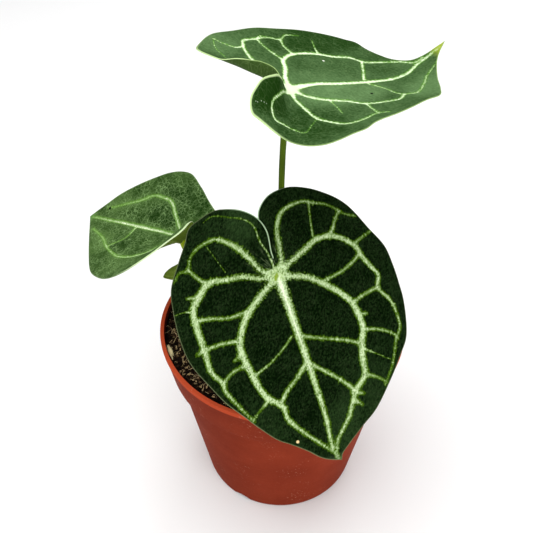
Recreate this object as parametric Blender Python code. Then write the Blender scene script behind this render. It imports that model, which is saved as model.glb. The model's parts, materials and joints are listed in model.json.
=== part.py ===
"""A potted foliage anthurium: three large velvet heart-shaped leaves and one young leaf on thin
petioles, rooted in dark coir potting mix, in a round, tapered, thin-walled plastic nursery pot.

Metres, +Z up. The origin is the middle of the pot's flat base, and the front leaf hangs towards -Y.
A blade is drawn flat first, in whole millimetres from its joint with the petiole, as (along, across):
along runs to the tip and across to the left of it. A bend then folds, cups and arches the drawing.
"""

import math
from dataclasses import dataclass

import bmesh
import bpy
import numpy as np
from mathutils import Vector
from mathutils.geometry import delaunay_2d_cdt

MM = 0.001

# The pot: a 12 cm nursery pot with a tall collar, a rounded lip and three arched drain slots in its foot.
POT_HEIGHT = 0.102
LIP_RADIUS = 0.060
LIP_HEIGHT = 0.003
LIP_WIDTH = 0.0019
LIP_ROUND = 0.0007
COLLAR_TOP_RADIUS = 0.0593
COLLAR_FOOT_RADIUS = 0.0564
COLLAR_FOOT = 0.0805
STEP_FALL = 0.001
WALL_TOP_RADIUS = 0.0537
BASE_RADIUS = 0.0415
FOOT_ROUND = 0.001
WALL = 0.0013
FLOOR = 0.0016
POT_STEPS = 64
SLOT_ANGLES = (240, 0, 120)
SLOT_RADIUS = 0.0065
SLOT_HEIGHT = 0.003
SLOT_INWARD = 0.007
SLOT_OUTWARD = 0.005

# The potting mix, and the gap that touching pieces keep.
GAP = 0.0003
SOIL_LEVEL = 0.0995
SOIL_MOUND = 0.002
SOIL_LUMP = 0.0013
SOIL_CALM = 6.0
SOIL_EDGE_DROP = 0.001
SOIL_RINGS = 7
# Two sine patterns make the crumbs: (share, waves per metre along x and y, phases).
COARSE_CRUMBS = (0.6, 310, 270, 1.3, 0.4)
FINE_CRUMBS = (0.4, 760, 610, 2.1, 0.9)

# The crown is the short thick stem that the petioles grow from.
CROWN_RADIUS = 0.0095
CROWN_FOOT = 0.085
CROWN_TOP = 0.1065
CROWN_SHOULDER = 0.005
CROWN_EDGE = 0.002
SOCKET_DEPTH = 0.005

# Petioles and blades; the steps, rib widths and clear distances are in millimetres.
PETIOLE_RADIUS = 0.00135
PETIOLE_POINTS = 22
SHEATH_FLARE = 1.35
SHEATH_LENGTH = 0.022
KNEE_FLARE = 1.30
KNEE_LENGTH = 0.014
KNEE_STRAIGHT = 0.002
ROOT_ABOVE_CROWN = 0.001
BLADE = 0.0008
RIB = 0.0008
VEIN_DIP = 0.0003
MARGIN_STEP = 3.2
VEIN_STEP = 3.6
RIB_HALF_WIDTH = 1.6
RIB_SPREAD = 1.0
RIB_FREE_AT_JOINT = (2.5, 7.0)
RIB_FREE_AT_MARGIN = (0.3, 2.5)
GRID_STEP = 4.3


@dataclass(frozen=True)
class Half:
    """How one half of a blade leaves the midrib; angles in degrees, up positive."""

    fold: float = 0.0
    opening: float = 0.0
    cup: float = 0.0
    lobe_lift: float = 0.0
    lobe_from: float = 110.0
    lobe_turn: float = 0.0


@dataclass(frozen=True)
class Bend:
    """Where a blade stands and how it arches; lengths in millimetres, angles in degrees."""

    joint: tuple
    heading: float
    pitch: float
    length: float
    width: float
    left: Half
    right: Half
    roll: float = 0.0
    arch: float = 0.0
    arch_back: float = 0.0
    curl: float = 0.0
    curl_from: float = 0.6
    lobe_near: float = 25.0
    wave: float = 0.0
    wave_length: float = 60.0


@dataclass(frozen=True)
class Leaf:
    """A blade's two margins, each from the tip to the notch, its main veins, and its petiole."""

    name: str
    bend: Bend
    left_margin: tuple
    right_margin: tuple
    veins: tuple
    root: tuple
    rise: float
    reach: float
    sway: tuple
    stoutness: float
    color: tuple


FRONT = Leaf(
    name="front",
    bend=Bend(
        joint=(-2.9, -30.0, 158.8), heading=-66, pitch=-35, roll=6, length=78, width=47,
        arch=-14, arch_back=-25, curl=50, curl_from=0.75, wave=1.2, wave_length=40,
        left=Half(fold=5, cup=-22, lobe_lift=-2, lobe_from=130),
        right=Half(fold=5, cup=-22, lobe_lift=6, lobe_from=130, lobe_turn=6),
    ),
    left_margin=(
        (78, 1), (76, 2), (73, 6), (68, 14), (64, 21), (55, 31), (47, 39), (41, 45), (33, 49), (25, 51),
        (17, 51), (9, 51), (0, 51), (-10, 47), (-20, 42), (-25, 38), (-30, 32), (-34, 26), (-37, 18),
        (-36, 9), (-31, 3), (-26, 1), (-18, 1), (-10, 1), (-7, 0),
    ),
    right_margin=(
        (78, 1), (76, -4), (74, -7), (70, -11), (65, -17), (62, -21), (56, -26), (49, -31), (42, -36),
        (34, -40), (22, -45), (11, -46), (0, -45), (-9, -43), (-18, -37), (-25, -32), (-30, -29),
        (-32, -24), (-33, -18), (-32, -14), (-29, -8), (-24, -3), (-18, -1), (-10, -1), (-7, 0),
    ),
    veins=(
        ((0, 0), (38, 0), (76, 0)),
        ((1, 1), (4, 11), (14, 22), (25, 27), (37, 24), (49, 21), (57, 13), (69, 2)),
        ((0, 1), (-4, 7), (-10, 21), (-7, 33), (3, 38), (16, 40), (30, 45), (40, 40), (56, 28)),
        ((-1, 1), (-12, 5), (-26, 11), (-28, 22), (-20, 36), (-16, 43)),
        ((1, -1), (8, -13), (22, -24), (34, -23), (45, -20), (55, -15), (74, -2)),
        ((0, -1), (-4, -14), (-6, -28), (2, -37), (16, -38), (37, -35), (52, -28)),
        ((-1, -1), (-10, -9), (-20, -17), (-21, -28), (-14, -34), (-11, -41)),
    ),
    root=(1.2, -4.6), rise=34.0, reach=22.0, sway=(0, 0), stoutness=1.0, color=(0.005, 0.016, 0.006),
)

TOP = Leaf(
    name="top",
    bend=Bend(
        joint=(1.5, 2.4, 225.6), heading=30, pitch=-11, length=76, width=44, arch=5, curl=400,
        lobe_near=14,
        left=Half(fold=6, cup=8, lobe_lift=17, lobe_from=125),
        right=Half(fold=-20, opening=22, cup=40, lobe_lift=20, lobe_from=115, lobe_turn=-22),
    ),
    left_margin=(
        (80, -1), (76, 2), (70, 5), (66, 7), (60, 13), (57, 18), (54, 24), (52, 30), (48, 33), (42, 37),
        (30, 42), (18, 44), (8, 45), (-4, 43), (-14, 41), (-21, 36), (-26, 30), (-25, 25), (-22, 21),
        (-19, 12), (-10, 5), (-6, 0),
    ),
    right_margin=(
        (80, -1), (76, -1), (72, -3), (66, -10), (60, -19), (54, -25), (48, -25), (38, -28), (30, -30),
        (18, -32), (10, -36), (4, -37), (-4, -39), (-10, -39), (-15, -36), (-18, -32), (-24, -24),
        (-29, -19), (-32, -16), (-32, -13), (-30, -9), (-26, -6), (-22, -4), (-11, -3), (-6, 0),
    ),
    veins=(
        ((0, 0), (26, 1), (59, 1), (78, -1)),
        ((0, 1), (7, 16), (16, 25), (27, 24), (42, 19), (54, 13), (69, 5)),
        ((-1, 1), (-5, 22), (-4, 32), (5, 37), (20, 39)),
        ((1, -1), (9, -7), (20, -11), (34, -17), (46, -14), (59, -10), (72, -3)),
        ((0, -1), (0, -12), (4, -23), (16, -27), (26, -26)),
        ((-1, -1), (-12, -8), (-20, -14), (-16, -20), (-10, -27)),
    ),
    root=(-1.4, 4.8), rise=60.0, reach=30.0, sway=(2, 14), stoutness=1.0, color=(0.030, 0.095, 0.028),
)

LEFT = Leaf(
    name="left",
    bend=Bend(
        joint=(-46.8, 10.6, 146.9), heading=145, pitch=-11.7, length=65, width=39, arch=-4, arch_back=10,
        left=Half(fold=5, opening=-28, cup=-4, lobe_lift=18, lobe_from=58),
        right=Half(fold=30, opening=16),
    ),
    left_margin=(
        (66, 0), (57, 11), (45, 23), (32, 33), (21, 37), (11, 39), (3, 39), (-5, 37), (-13, 32),
        (-18, 25), (-22, 19), (-21, 12), (-17, 6), (-11, 2), (-6, 0),
    ),
    right_margin=(
        (66, 0), (56, -8), (49, -14), (39, -21), (31, -26), (24, -30), (18, -32), (12, -32), (4, -27),
        (-4, -21), (-10, -17), (-15, -14), (-20, -11), (-23, -7), (-22, -3), (-14, -1), (-6, 0),
    ),
    veins=(
        ((0, 0), (30, 0), (63, 0)),
        ((1, -1), (10, -10), (22, -17), (34, -13), (53, -6)),
        ((0, 1), (6, 16), (13, 21), (29, 20), (46, 11), (56, 7)),
        ((-1, 1), (-8, 12), (-12, 24)),
        ((-1, -1), (-8, -6), (-16, -9)),
    ),
    root=(-5.8, 0.6), rise=34.0, reach=14.0, sway=(0, 0), stoutness=1.0, color=(0.034, 0.110, 0.026),
)

YOUNG = Leaf(
    name="young",
    bend=Bend(
        joint=(-29.5, -13.0, 141.0), heading=178, pitch=5, roll=-22, length=26, width=12, arch=-4,
        left=Half(fold=50, cup=6), right=Half(fold=16, cup=6),
    ),
    left_margin=((24, 0), (23, 2), (20, 4), (15, 6), (9, 8), (2, 9), (-4, 8), (-8, 5), (-7, 2), (-3, 0)),
    right_margin=(
        (24, 0), (23, -2), (21, -4), (18, -6), (15, -8), (9, -11), (2, -12), (-4, -11), (-8, -7),
        (-7, -2), (-3, 0),
    ),
    veins=(((0, 0), (12, 0), (23, 0)), ((0, 0), (6, 6), (12, 6)), ((0, 0), (6, -6), (12, -6))),
    root=(-4.2, -5.0), rise=24.0, reach=12.0, sway=(0, 0), stoutness=0.75, color=(0.110, 0.110, 0.018),
)

LEAVES = (FRONT, TOP, LEFT, YOUNG)


def clear_scene():
    """Remove every object of the scene."""
    for obj in list(bpy.data.objects):
        bpy.data.objects.remove(obj, do_unlink=True)


def material(name, color, roughness, metallic=0.0):
    """A plain Principled material."""
    made = bpy.data.materials.new(name)
    made.use_nodes = True
    shader = made.node_tree.nodes["Principled BSDF"]
    shader.inputs["Base Color"].default_value = (*color, 1.0)
    shader.inputs["Roughness"].default_value = roughness
    shader.inputs["Metallic"].default_value = metallic
    return made


def add_object(name, data, finish=None):
    """Link an object that holds this mesh or curve to the scene."""
    obj = bpy.data.objects.new(name, data)
    bpy.context.scene.collection.objects.link(obj)
    if finish:
        data.materials.append(finish)
    return obj


def add_mesh(name, bm, finish=None):
    """Turn a bmesh into an object."""
    mesh = bpy.data.meshes.new(name)
    bm.to_mesh(mesh)
    bm.free()
    return add_object(name, mesh, finish)


def turned(name, profile, finish, steps=POT_STEPS):
    """A solid turned about +Z from a profile of (radius, height) that runs up inside and down outside."""
    bm = bmesh.new()
    points = [bm.verts.new((radius, 0.0, height)) for radius, height in profile]
    for start, end in zip(points, points[1:]):
        bm.edges.new((start, end))
    obj = add_mesh(name, bm, finish)
    screw = obj.modifiers.new("Turn", "SCREW")
    screw.steps = screw.render_steps = steps
    screw.use_merge_vertices = True
    screw.merge_threshold = 0.0001
    screw.use_smooth_shade = True
    return obj


def cutter(name, radius, start, end, sides=24):
    """A hidden cylinder between two points, for a Boolean."""
    start, end = Vector(start), Vector(end)
    bm = bmesh.new()
    bmesh.ops.create_cone(
        bm, cap_ends=True, segments=sides, radius1=radius, radius2=radius, depth=(end - start).length
    )
    obj = add_mesh(name, bm)
    obj.location = (start + end) / 2
    obj.rotation_mode = "QUATERNION"
    obj.rotation_quaternion = (end - start).to_track_quat("Z", "Y")
    obj.hide_render = True
    obj.display_type = "WIRE"
    return obj


def cut(obj, tool):
    """Take the cutter's shape out of the object."""
    boolean = obj.modifiers.new(f"Cut {tool.name}", "BOOLEAN")
    boolean.operation = "DIFFERENCE"
    boolean.solver = "EXACT"
    boolean.object = tool


def wall_profile(inset, lift):
    """The wall's bend points from foot to collar top, moved inwards and, at the collar's step, upwards."""
    return [
        (BASE_RADIUS - inset, FOOT_ROUND),
        (WALL_TOP_RADIUS - inset, COLLAR_FOOT - STEP_FALL + lift),
        (COLLAR_FOOT_RADIUS - inset, COLLAR_FOOT + lift),
        (COLLAR_TOP_RADIUS - inset, POT_HEIGHT - LIP_HEIGHT),
    ]


def radius_at(profile, height):
    """Radius of a wall profile at this height."""
    return float(np.interp(height, [point[1] for point in profile], [point[0] for point in profile]))


def make_pot():
    """The thin-walled pot: floor, tapered wall, collar, lip and arched drain slots."""
    inner = wall_profile(WALL, WALL)
    floor_edge = radius_at(inner, FLOOR + FOOT_ROUND)
    lip = [
        (LIP_RADIUS - LIP_WIDTH, POT_HEIGHT - LIP_ROUND),
        (LIP_RADIUS - LIP_WIDTH + LIP_ROUND, POT_HEIGHT),
        (LIP_RADIUS - LIP_ROUND, POT_HEIGHT),
        (LIP_RADIUS, POT_HEIGHT - LIP_ROUND),
        (LIP_RADIUS, POT_HEIGHT - LIP_HEIGHT + LIP_ROUND),
    ]
    profile = [(0.0, FLOOR), (floor_edge - FOOT_ROUND, FLOOR), (floor_edge, FLOOR + FOOT_ROUND)]
    profile += inner[1:] + lip + wall_profile(0.0, 0.0)[::-1]
    profile += [(BASE_RADIUS - FOOT_ROUND / 2, 0.0), (0.0, 0.0)]
    pot = turned("pot", profile, material("terracotta_plastic", (0.30, 0.055, 0.025), 0.45))
    for index, angle in enumerate(SLOT_ANGLES):
        turn = math.radians(angle)
        outward = Vector((math.cos(turn), math.sin(turn), 0.0))
        axis_height = Vector((0.0, 0.0, SLOT_HEIGHT - SLOT_RADIUS))
        start = outward * (BASE_RADIUS - SLOT_INWARD) + axis_height
        end = outward * (BASE_RADIUS + SLOT_OUTWARD) + axis_height
        cut(pot, cutter(f"slot_cutter_{index}", SLOT_RADIUS, start, end))


def lump(x, y):
    """Height of the potting mix's crumbly surface above its even level, in -1 to 1."""
    height = 0.0
    for share, waves_x, waves_y, phase_x, phase_y in (COARSE_CRUMBS, FINE_CRUMBS):
        height += share * math.sin(waves_x * x + phase_x) * math.cos(waves_y * y + phase_y)
    return height


def soil_surface(x, y):
    """Height of the top of the potting mix, calm at the wall and mounded towards the crown."""
    out = math.hypot(x, y) / COLLAR_FOOT_RADIUS
    calm = min(1.0, SOIL_CALM * abs(1 - out))
    return SOIL_LEVEL + SOIL_MOUND * (1 - out) + SOIL_LUMP * calm * lump(x, y)


def make_soil():
    """The filling of potting mix, with a crumbly top and a plain hole for the crown."""
    bm = bmesh.new()

    def ring(radius, height):
        """One closed ring of points; height is a number or a function of x and y."""
        points = []
        for step in range(POT_STEPS):
            turn = 2 * math.pi * step / POT_STEPS
            x, y = radius * math.cos(turn), radius * math.sin(turn)
            points.append(bm.verts.new((x, y, height(x, y) if callable(height) else height)))
        return points

    wall = wall_profile(WALL + GAP, WALL + GAP)
    floor_edge = radius_at(wall, FLOOR + FOOT_ROUND)
    edge_height = SOIL_LEVEL - SOIL_EDGE_DROP
    edge = radius_at(wall, edge_height)
    hole = CROWN_RADIUS + GAP
    rings = [
        ring(floor_edge - FOOT_ROUND, FLOOR + GAP),
        ring(floor_edge, FLOOR + FOOT_ROUND + GAP),
        ring(*wall[1]),
        ring(*wall[2]),
        ring(edge, edge_height),
    ]
    for share in np.linspace(0, 1, SOIL_RINGS):
        rings.append(ring((edge - SOIL_EDGE_DROP) * (1 - share) + hole * share, soil_surface))
    rings.append(ring(hole, CROWN_FOOT - GAP))
    for low, high in zip(rings, rings[1:]):
        for step in range(POT_STEPS):
            after = (step + 1) % POT_STEPS
            bm.faces.new((low[step], low[after], high[after], high[step]))
    bm.faces.new(reversed(rings[0]))
    bm.faces.new(rings[-1])
    bmesh.ops.triangulate(bm, faces=bm.faces[:])
    bmesh.ops.recalc_face_normals(bm, faces=bm.faces[:])
    add_mesh("soil", bm, material("potting_mix", (0.020, 0.013, 0.009), 0.95))


def smooth_step(value, low, high):
    """A smooth rise from 0 at low to 1 at high."""
    share = np.clip((value - low) / (high - low), 0, 1)
    return share * share * (3 - 2 * share)


def through(points, step):
    """Points about a step apart on a smooth open curve through these points."""
    points = np.array(points, float)
    ends = np.vstack([2 * points[0] - points[1], points, 2 * points[-1] - points[-2]])
    run = []
    for before, start, end, after in zip(ends, ends[1:], ends[2:], ends[3:]):
        knots = np.cumsum([0] + [
            max(np.linalg.norm(b - a), 1e-6) ** 0.5
            for a, b in ((before, start), (start, end), (end, after))
        ])
        for t in np.linspace(knots[1], knots[2], 12, endpoint=False):
            a1 = before + (start - before) * (t - knots[0]) / (knots[1] - knots[0])
            a2 = start + (end - start) * (t - knots[1]) / (knots[2] - knots[1])
            a3 = end + (after - end) * (t - knots[2]) / (knots[3] - knots[2])
            b1 = a1 + (a2 - a1) * (t - knots[0]) / (knots[2] - knots[0])
            b2 = a2 + (a3 - a2) * (t - knots[1]) / (knots[3] - knots[1])
            run.append(b1 + (b2 - b1) * (t - knots[1]) / (knots[2] - knots[1]))
    run.append(points[-1])
    run = np.array(run)
    length = np.concatenate([[0], np.cumsum(np.linalg.norm(np.diff(run, axis=0), axis=1))])
    marks = np.linspace(0, length[-1], max(2, round(length[-1] / step) + 1))
    return np.column_stack([np.interp(marks, length, run[:, axis]) for axis in (0, 1)])


def blade_frame(bend):
    """The blade's directions at its joint: to the tip, to the left, and up from its face."""
    heading, pitch, roll = (math.radians(v) for v in (bend.heading, bend.pitch, bend.roll))
    tip = np.array([
        math.cos(pitch) * math.cos(heading), math.cos(pitch) * math.sin(heading), math.sin(pitch)
    ])
    level = np.array([-math.sin(heading), math.cos(heading), 0.0])
    left = level * math.cos(roll) + np.cross(tip, level) * math.sin(roll)
    return tip, left, np.cross(tip, left)


def bent(bend, flat, dip=0.0):
    """Bend flat points (along, across), in millimetres, to their places in the plant, in metres."""
    flat = np.atleast_2d(np.asarray(flat, float))
    on_left = flat[:, 1] >= 0

    def pick(field):
        """Each point's value of a setting of its half."""
        return np.where(on_left, getattr(bend.left, field), getattr(bend.right, field))

    # Behind the joint a lobe turns round it, over or away from the other lobe.
    away = np.hypot(flat[:, 0], flat[:, 1])
    angle = np.arctan2(flat[:, 1], flat[:, 0])
    behind = np.clip(np.abs(angle) / (math.pi / 2) - 1, 0, 1)
    angle = angle + np.sign(flat[:, 1]) * np.radians(pick("lobe_turn")) * behind**2
    along, across = away * np.cos(angle), away * np.sin(angle)

    # The midrib is walked in small steps, turning as it goes.
    walk = np.linspace(-1.2 * bend.length, 1.2 * bend.length, 961)
    share = walk / bend.length
    slope = np.radians(np.where(share >= 0, bend.arch, bend.arch_back)) * share
    slope = slope + math.radians(bend.curl) * np.clip(share - bend.curl_from, 0, None) ** 2
    pace = walk[1] - walk[0]
    forward = np.concatenate([[0], np.cumsum((np.cos(slope[1:]) + np.cos(slope[:-1])) * pace / 2)])
    upward = np.concatenate([[0], np.cumsum((np.sin(slope[1:]) + np.sin(slope[:-1])) * pace / 2)])
    middle = len(walk) // 2
    forward_at = np.interp(along, walk, forward - forward[middle])
    upward_at = np.interp(along, walk, upward - upward[middle])
    slope_at = np.interp(along, walk, slope)

    # Each half leaves the midrib at its fold and cups as an arc.
    fold = np.radians(pick("fold") + pick("opening") * np.clip(along / bend.length, -0.6, 1.0))
    half_turn = 0.5 * np.radians(pick("cup")) / bend.width * np.abs(across)
    chord = np.abs(across) * np.sinc(half_turn / math.pi)
    out = chord * np.cos(fold + half_turn)
    lift = chord * np.sin(fold + half_turn) - dip
    turned_by = np.abs(np.degrees(angle))
    rise = (turned_by - pick("lobe_from")) / (180 - pick("lobe_from"))
    lift += pick("lobe_lift") * smooth_step(rise, 0, 1) * smooth_step(away, 1, bend.lobe_near)
    ripple = np.sin(2 * math.pi * along / bend.wave_length)
    lift += bend.wave * (np.abs(across) / bend.width) ** 2 * ripple

    tip, left, up = blade_frame(bend)
    face = np.cos(slope_at)[:, None] * up - np.sin(slope_at)[:, None] * tip
    places = (
        np.array(bend.joint) + forward_at[:, None] * tip + upward_at[:, None] * up
        + (np.sign(across) * out)[:, None] * left + lift[:, None] * face
    )
    return places * MM


def distance_to(points, lines):
    """Distance from each point to the nearest of these lines."""
    nearest = np.full(len(points), np.inf)
    for line in lines:
        for start, end in zip(line, line[1:]):
            step = end - start
            share = np.clip((points - start) @ step / (step @ step), 0, 1)
            nearest = np.minimum(nearest, np.linalg.norm(points - start - share[:, None] * step, axis=1))
    return nearest


def inside(points, loop):
    """Which of the points lie within the closed loop."""
    x, y = points[:, 0], points[:, 1]
    found = np.zeros(len(points), bool)
    for (x0, y0), (x1, y1) in zip(loop, np.roll(loop, -1, axis=0)):
        if y0 != y1:
            crossed = ((y0 > y) != (y1 > y)) & (x < x0 + (y - y0) * (x1 - x0) / (y1 - y0))
            found ^= crossed
    return found


def thinned(points, least):
    """The points in turn, without those nearer than this to one that was kept before."""
    kept = []
    for point in points:
        if all(math.dist(point, other) >= least for other in kept):
            kept.append(point)
    return np.array(kept)


def flat_mesh(leaf):
    """The blade's flat triangles: points in millimetres, faces, and each point's share of a rib."""
    left = through(leaf.left_margin, MARGIN_STEP)
    right = through(leaf.right_margin, MARGIN_STEP)
    loop = np.vstack([right[:-1], left[::-1][:-1]])
    veins = [through(vein, VEIN_STEP) for vein in leaf.veins]

    feet = []
    for vein in veins:
        ahead = np.gradient(vein, axis=0)
        ahead /= np.linalg.norm(ahead, axis=1)[:, None]
        aside = np.column_stack([-ahead[:, 1], ahead[:, 0]]) * RIB_HALF_WIDTH
        feet += [vein + aside, vein - aside]
    lines = np.vstack(veins)
    feet = np.vstack(feet)
    feet = feet[distance_to(feet, veins) > 0.8 * RIB_HALF_WIDTH]

    low, high = loop.min(axis=0), loop.max(axis=0)
    rows = np.arange(low[1], high[1], GRID_STEP * math.sqrt(0.75))
    columns = np.arange(low[0], high[0], GRID_STEP)
    grid = np.array([
        (column + (GRID_STEP / 2 if index % 2 else 0), row)
        for index, row in enumerate(rows) for column in columns
    ])
    grid = grid[distance_to(grid, veins) > RIB_HALF_WIDTH + 0.55 * GRID_STEP]

    inner = thinned(np.vstack([lines, feet, grid]), 0.8 * RIB_HALF_WIDTH)
    border = [np.vstack([loop, loop[:1]])]
    inner = inner[inside(inner, loop)]
    inner = inner[distance_to(inner, border) > 0.4 * MARGIN_STEP]

    points = [Vector(point) for point in np.vstack([loop, inner])]
    ring = list(range(len(loop)))
    verts, _, faces, *_ = delaunay_2d_cdt(points, [], [ring], 1, 1e-5)
    flat = np.array([tuple(vert) for vert in verts])
    ribs = np.exp(-((distance_to(flat, veins) / RIB_SPREAD) ** 2))
    ribs *= smooth_step(np.hypot(flat[:, 0], flat[:, 1]), *RIB_FREE_AT_JOINT)
    ribs *= smooth_step(distance_to(flat, border), *RIB_FREE_AT_MARGIN)
    return flat, faces, ribs


def make_blade(leaf):
    """The leaf's blade: one thin bent sheet with ribs under its veins."""
    flat, faces, ribs = flat_mesh(leaf)
    places = bent(leaf.bend, flat, VEIN_DIP / MM * ribs)
    mesh = bpy.data.meshes.new(f"blade_{leaf.name}")
    mesh.from_pydata([tuple(place) for place in places], [], [tuple(face) for face in faces])
    mesh.shade_smooth()
    finish = material(f"velvet_{leaf.name}", leaf.color, 0.6)
    blade = add_object(f"blade_{leaf.name}", mesh, finish)
    group = blade.vertex_groups.new(name="ribs")
    for index, weight in enumerate(ribs):
        group.add([index], float(weight), "REPLACE")
    solid = blade.modifiers.new("Thickness", "SOLIDIFY")
    solid.thickness = BLADE + RIB
    solid.thickness_vertex_group = BLADE / (BLADE + RIB)
    solid.vertex_group = group.name
    solid.offset = -1


def petiole_path(leaf):
    """The petiole's centre line, from its seat in the crown to just under the blade."""
    up = Vector(blade_frame(leaf.bend)[2])
    joint = Vector(bent(leaf.bend, (0, 0))[0])
    knee = PETIOLE_RADIUS * leaf.stoutness * KNEE_FLARE / MM
    turns = np.linspace(0, 2 * math.pi, 16, endpoint=False)
    around = bent(leaf.bend, knee * np.column_stack([np.cos(turns), np.sin(turns)]))
    sag = max((joint - Vector(place)).dot(up) for place in around)
    end = joint - up * (sag + 1.1 * BLADE + GAP)
    neck = end - up * KNEE_STRAIGHT
    mouth = Vector((leaf.root[0] * MM, leaf.root[1] * MM, CROWN_TOP + ROOT_ABOVE_CROWN))
    way = (Vector((0, 0, 1)) + (neck - mouth).normalized()).normalized()
    first = mouth + way * leaf.rise * MM
    last = neck - up * leaf.reach * MM + Vector((*leaf.sway, 0)) * MM
    points = [mouth - way * SOCKET_DEPTH]
    for index in range(PETIOLE_POINTS):
        t = index / (PETIOLE_POINTS - 1)
        points.append(
            mouth * (1 - t) ** 3 + first * 3 * t * (1 - t) ** 2 + last * 3 * t**2 * (1 - t) + neck * t**3
        )
    points.append(end)
    return points, way


def make_petiole(leaf):
    """The leaf's round stalk, wider at its sheath and at the knee under the blade."""
    points, _ = petiole_path(leaf)
    curve = bpy.data.curves.new(f"petiole_{leaf.name}", "CURVE")
    curve.dimensions = "3D"
    curve.bevel_depth = PETIOLE_RADIUS * leaf.stoutness
    curve.bevel_resolution = 2
    curve.use_fill_caps = True
    spline = curve.splines.new("POLY")
    spline.points.add(len(points) - 1)
    walked = [0.0]
    for before, after in zip(points, points[1:]):
        walked.append(walked[-1] + (after - before).length)
    for point, place, gone in zip(spline.points, points, walked):
        near_end = max(0.0, 1 - (walked[-1] - gone) / KNEE_LENGTH)
        near_root = max(0.0, 1 - gone / SHEATH_LENGTH)
        point.co = (*place, 1.0)
        point.radius = 1 + (KNEE_FLARE - 1) * min(1.0, 2 * near_end) + (SHEATH_FLARE - 1) * near_root
    add_object(curve.name, curve, material(f"petiole_skin_{leaf.name}", (0.085, 0.120, 0.015), 0.5))


def make_crown():
    """The short stem in the middle of the potting mix, with a socket for each petiole."""
    profile = [
        (0.0, CROWN_TOP),
        (0.5 * CROWN_RADIUS, CROWN_TOP - 0.13 * CROWN_SHOULDER),
        (0.87 * CROWN_RADIUS, CROWN_TOP - 0.5 * CROWN_SHOULDER),
        (CROWN_RADIUS, CROWN_TOP - CROWN_SHOULDER),
        (CROWN_RADIUS, CROWN_FOOT + CROWN_EDGE),
        (CROWN_RADIUS - CROWN_EDGE, CROWN_FOOT),
        (0.0, CROWN_FOOT),
    ]
    crown = turned("crown", profile, material("crown_bark", (0.060, 0.042, 0.018), 0.85), steps=POT_STEPS)
    for leaf in LEAVES:
        points, way = petiole_path(leaf)
        radius = PETIOLE_RADIUS * leaf.stoutness * SHEATH_FLARE + GAP
        bottom = points[0] - way * GAP
        cut(crown, cutter(f"socket_{leaf.name}", radius, bottom, bottom + way * 3 * SOCKET_DEPTH))


def main():
    """Build the whole plant in its pot."""
    clear_scene()
    make_pot()
    make_soil()
    make_crown()
    for leaf in LEAVES:
        make_petiole(leaf)
        make_blade(leaf)


main()
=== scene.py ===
"""Looks of a potted foliage anthurium: velvet heart-shaped leaves with pale veins, dark potting mix
and a terracotta-coloured plastic nursery pot.

Metres, +Z up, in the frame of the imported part. A blade is drawn flat first, in millimetres from its
joint with the petiole, as (along, across); a bend then folds, cups and arches the drawing.
"""

import json
import logging
import math
from dataclasses import dataclass
from enum import Enum

import bmesh
import bpy
import numpy as np
from bpy.types import Material, Mesh, NodeSocket, Object
from mathutils import Matrix, Vector, noise
from mathutils.geometry import delaunay_2d_cdt

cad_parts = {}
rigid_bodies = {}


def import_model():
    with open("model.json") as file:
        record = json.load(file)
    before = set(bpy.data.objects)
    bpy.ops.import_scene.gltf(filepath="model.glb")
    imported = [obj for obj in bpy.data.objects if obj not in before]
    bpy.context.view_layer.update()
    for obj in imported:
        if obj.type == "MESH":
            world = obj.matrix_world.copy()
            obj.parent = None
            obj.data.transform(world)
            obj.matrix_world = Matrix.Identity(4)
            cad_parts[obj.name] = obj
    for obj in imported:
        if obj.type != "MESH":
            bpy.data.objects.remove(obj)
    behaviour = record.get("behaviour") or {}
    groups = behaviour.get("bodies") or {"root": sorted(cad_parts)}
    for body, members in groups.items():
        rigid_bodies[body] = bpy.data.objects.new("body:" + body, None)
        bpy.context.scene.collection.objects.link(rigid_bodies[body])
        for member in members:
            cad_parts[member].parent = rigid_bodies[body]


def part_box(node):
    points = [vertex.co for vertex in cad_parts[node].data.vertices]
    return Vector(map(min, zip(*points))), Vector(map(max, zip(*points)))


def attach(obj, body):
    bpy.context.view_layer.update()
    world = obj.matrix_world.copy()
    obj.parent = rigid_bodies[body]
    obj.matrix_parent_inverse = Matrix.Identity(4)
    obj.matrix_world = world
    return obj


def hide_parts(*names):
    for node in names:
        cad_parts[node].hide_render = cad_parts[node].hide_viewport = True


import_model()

LOG = logging.getLogger("anthurium")
MM = 0.001
BODY = "root"

Points = tuple[tuple[float, float], ...]
Profile = list[tuple[float, float]]
Triple = tuple[float, float, float]
Color = tuple[float, float, float, float]


def srgb(red: float, green: float, blue: float) -> Color:
    """Linear colour of a display colour.

    Args:
        red, green, blue: display values, 0 to 255.

    Returns:
        The linear colour with full alpha.
    """
    shares = [value / 255 for value in (red, green, blue)]
    linear = [s / 12.92 if s <= 0.04045 else ((s + 0.055) / 1.055) ** 2.4 for s in shares]
    return (*linear, 1.0)


# Node building


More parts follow.
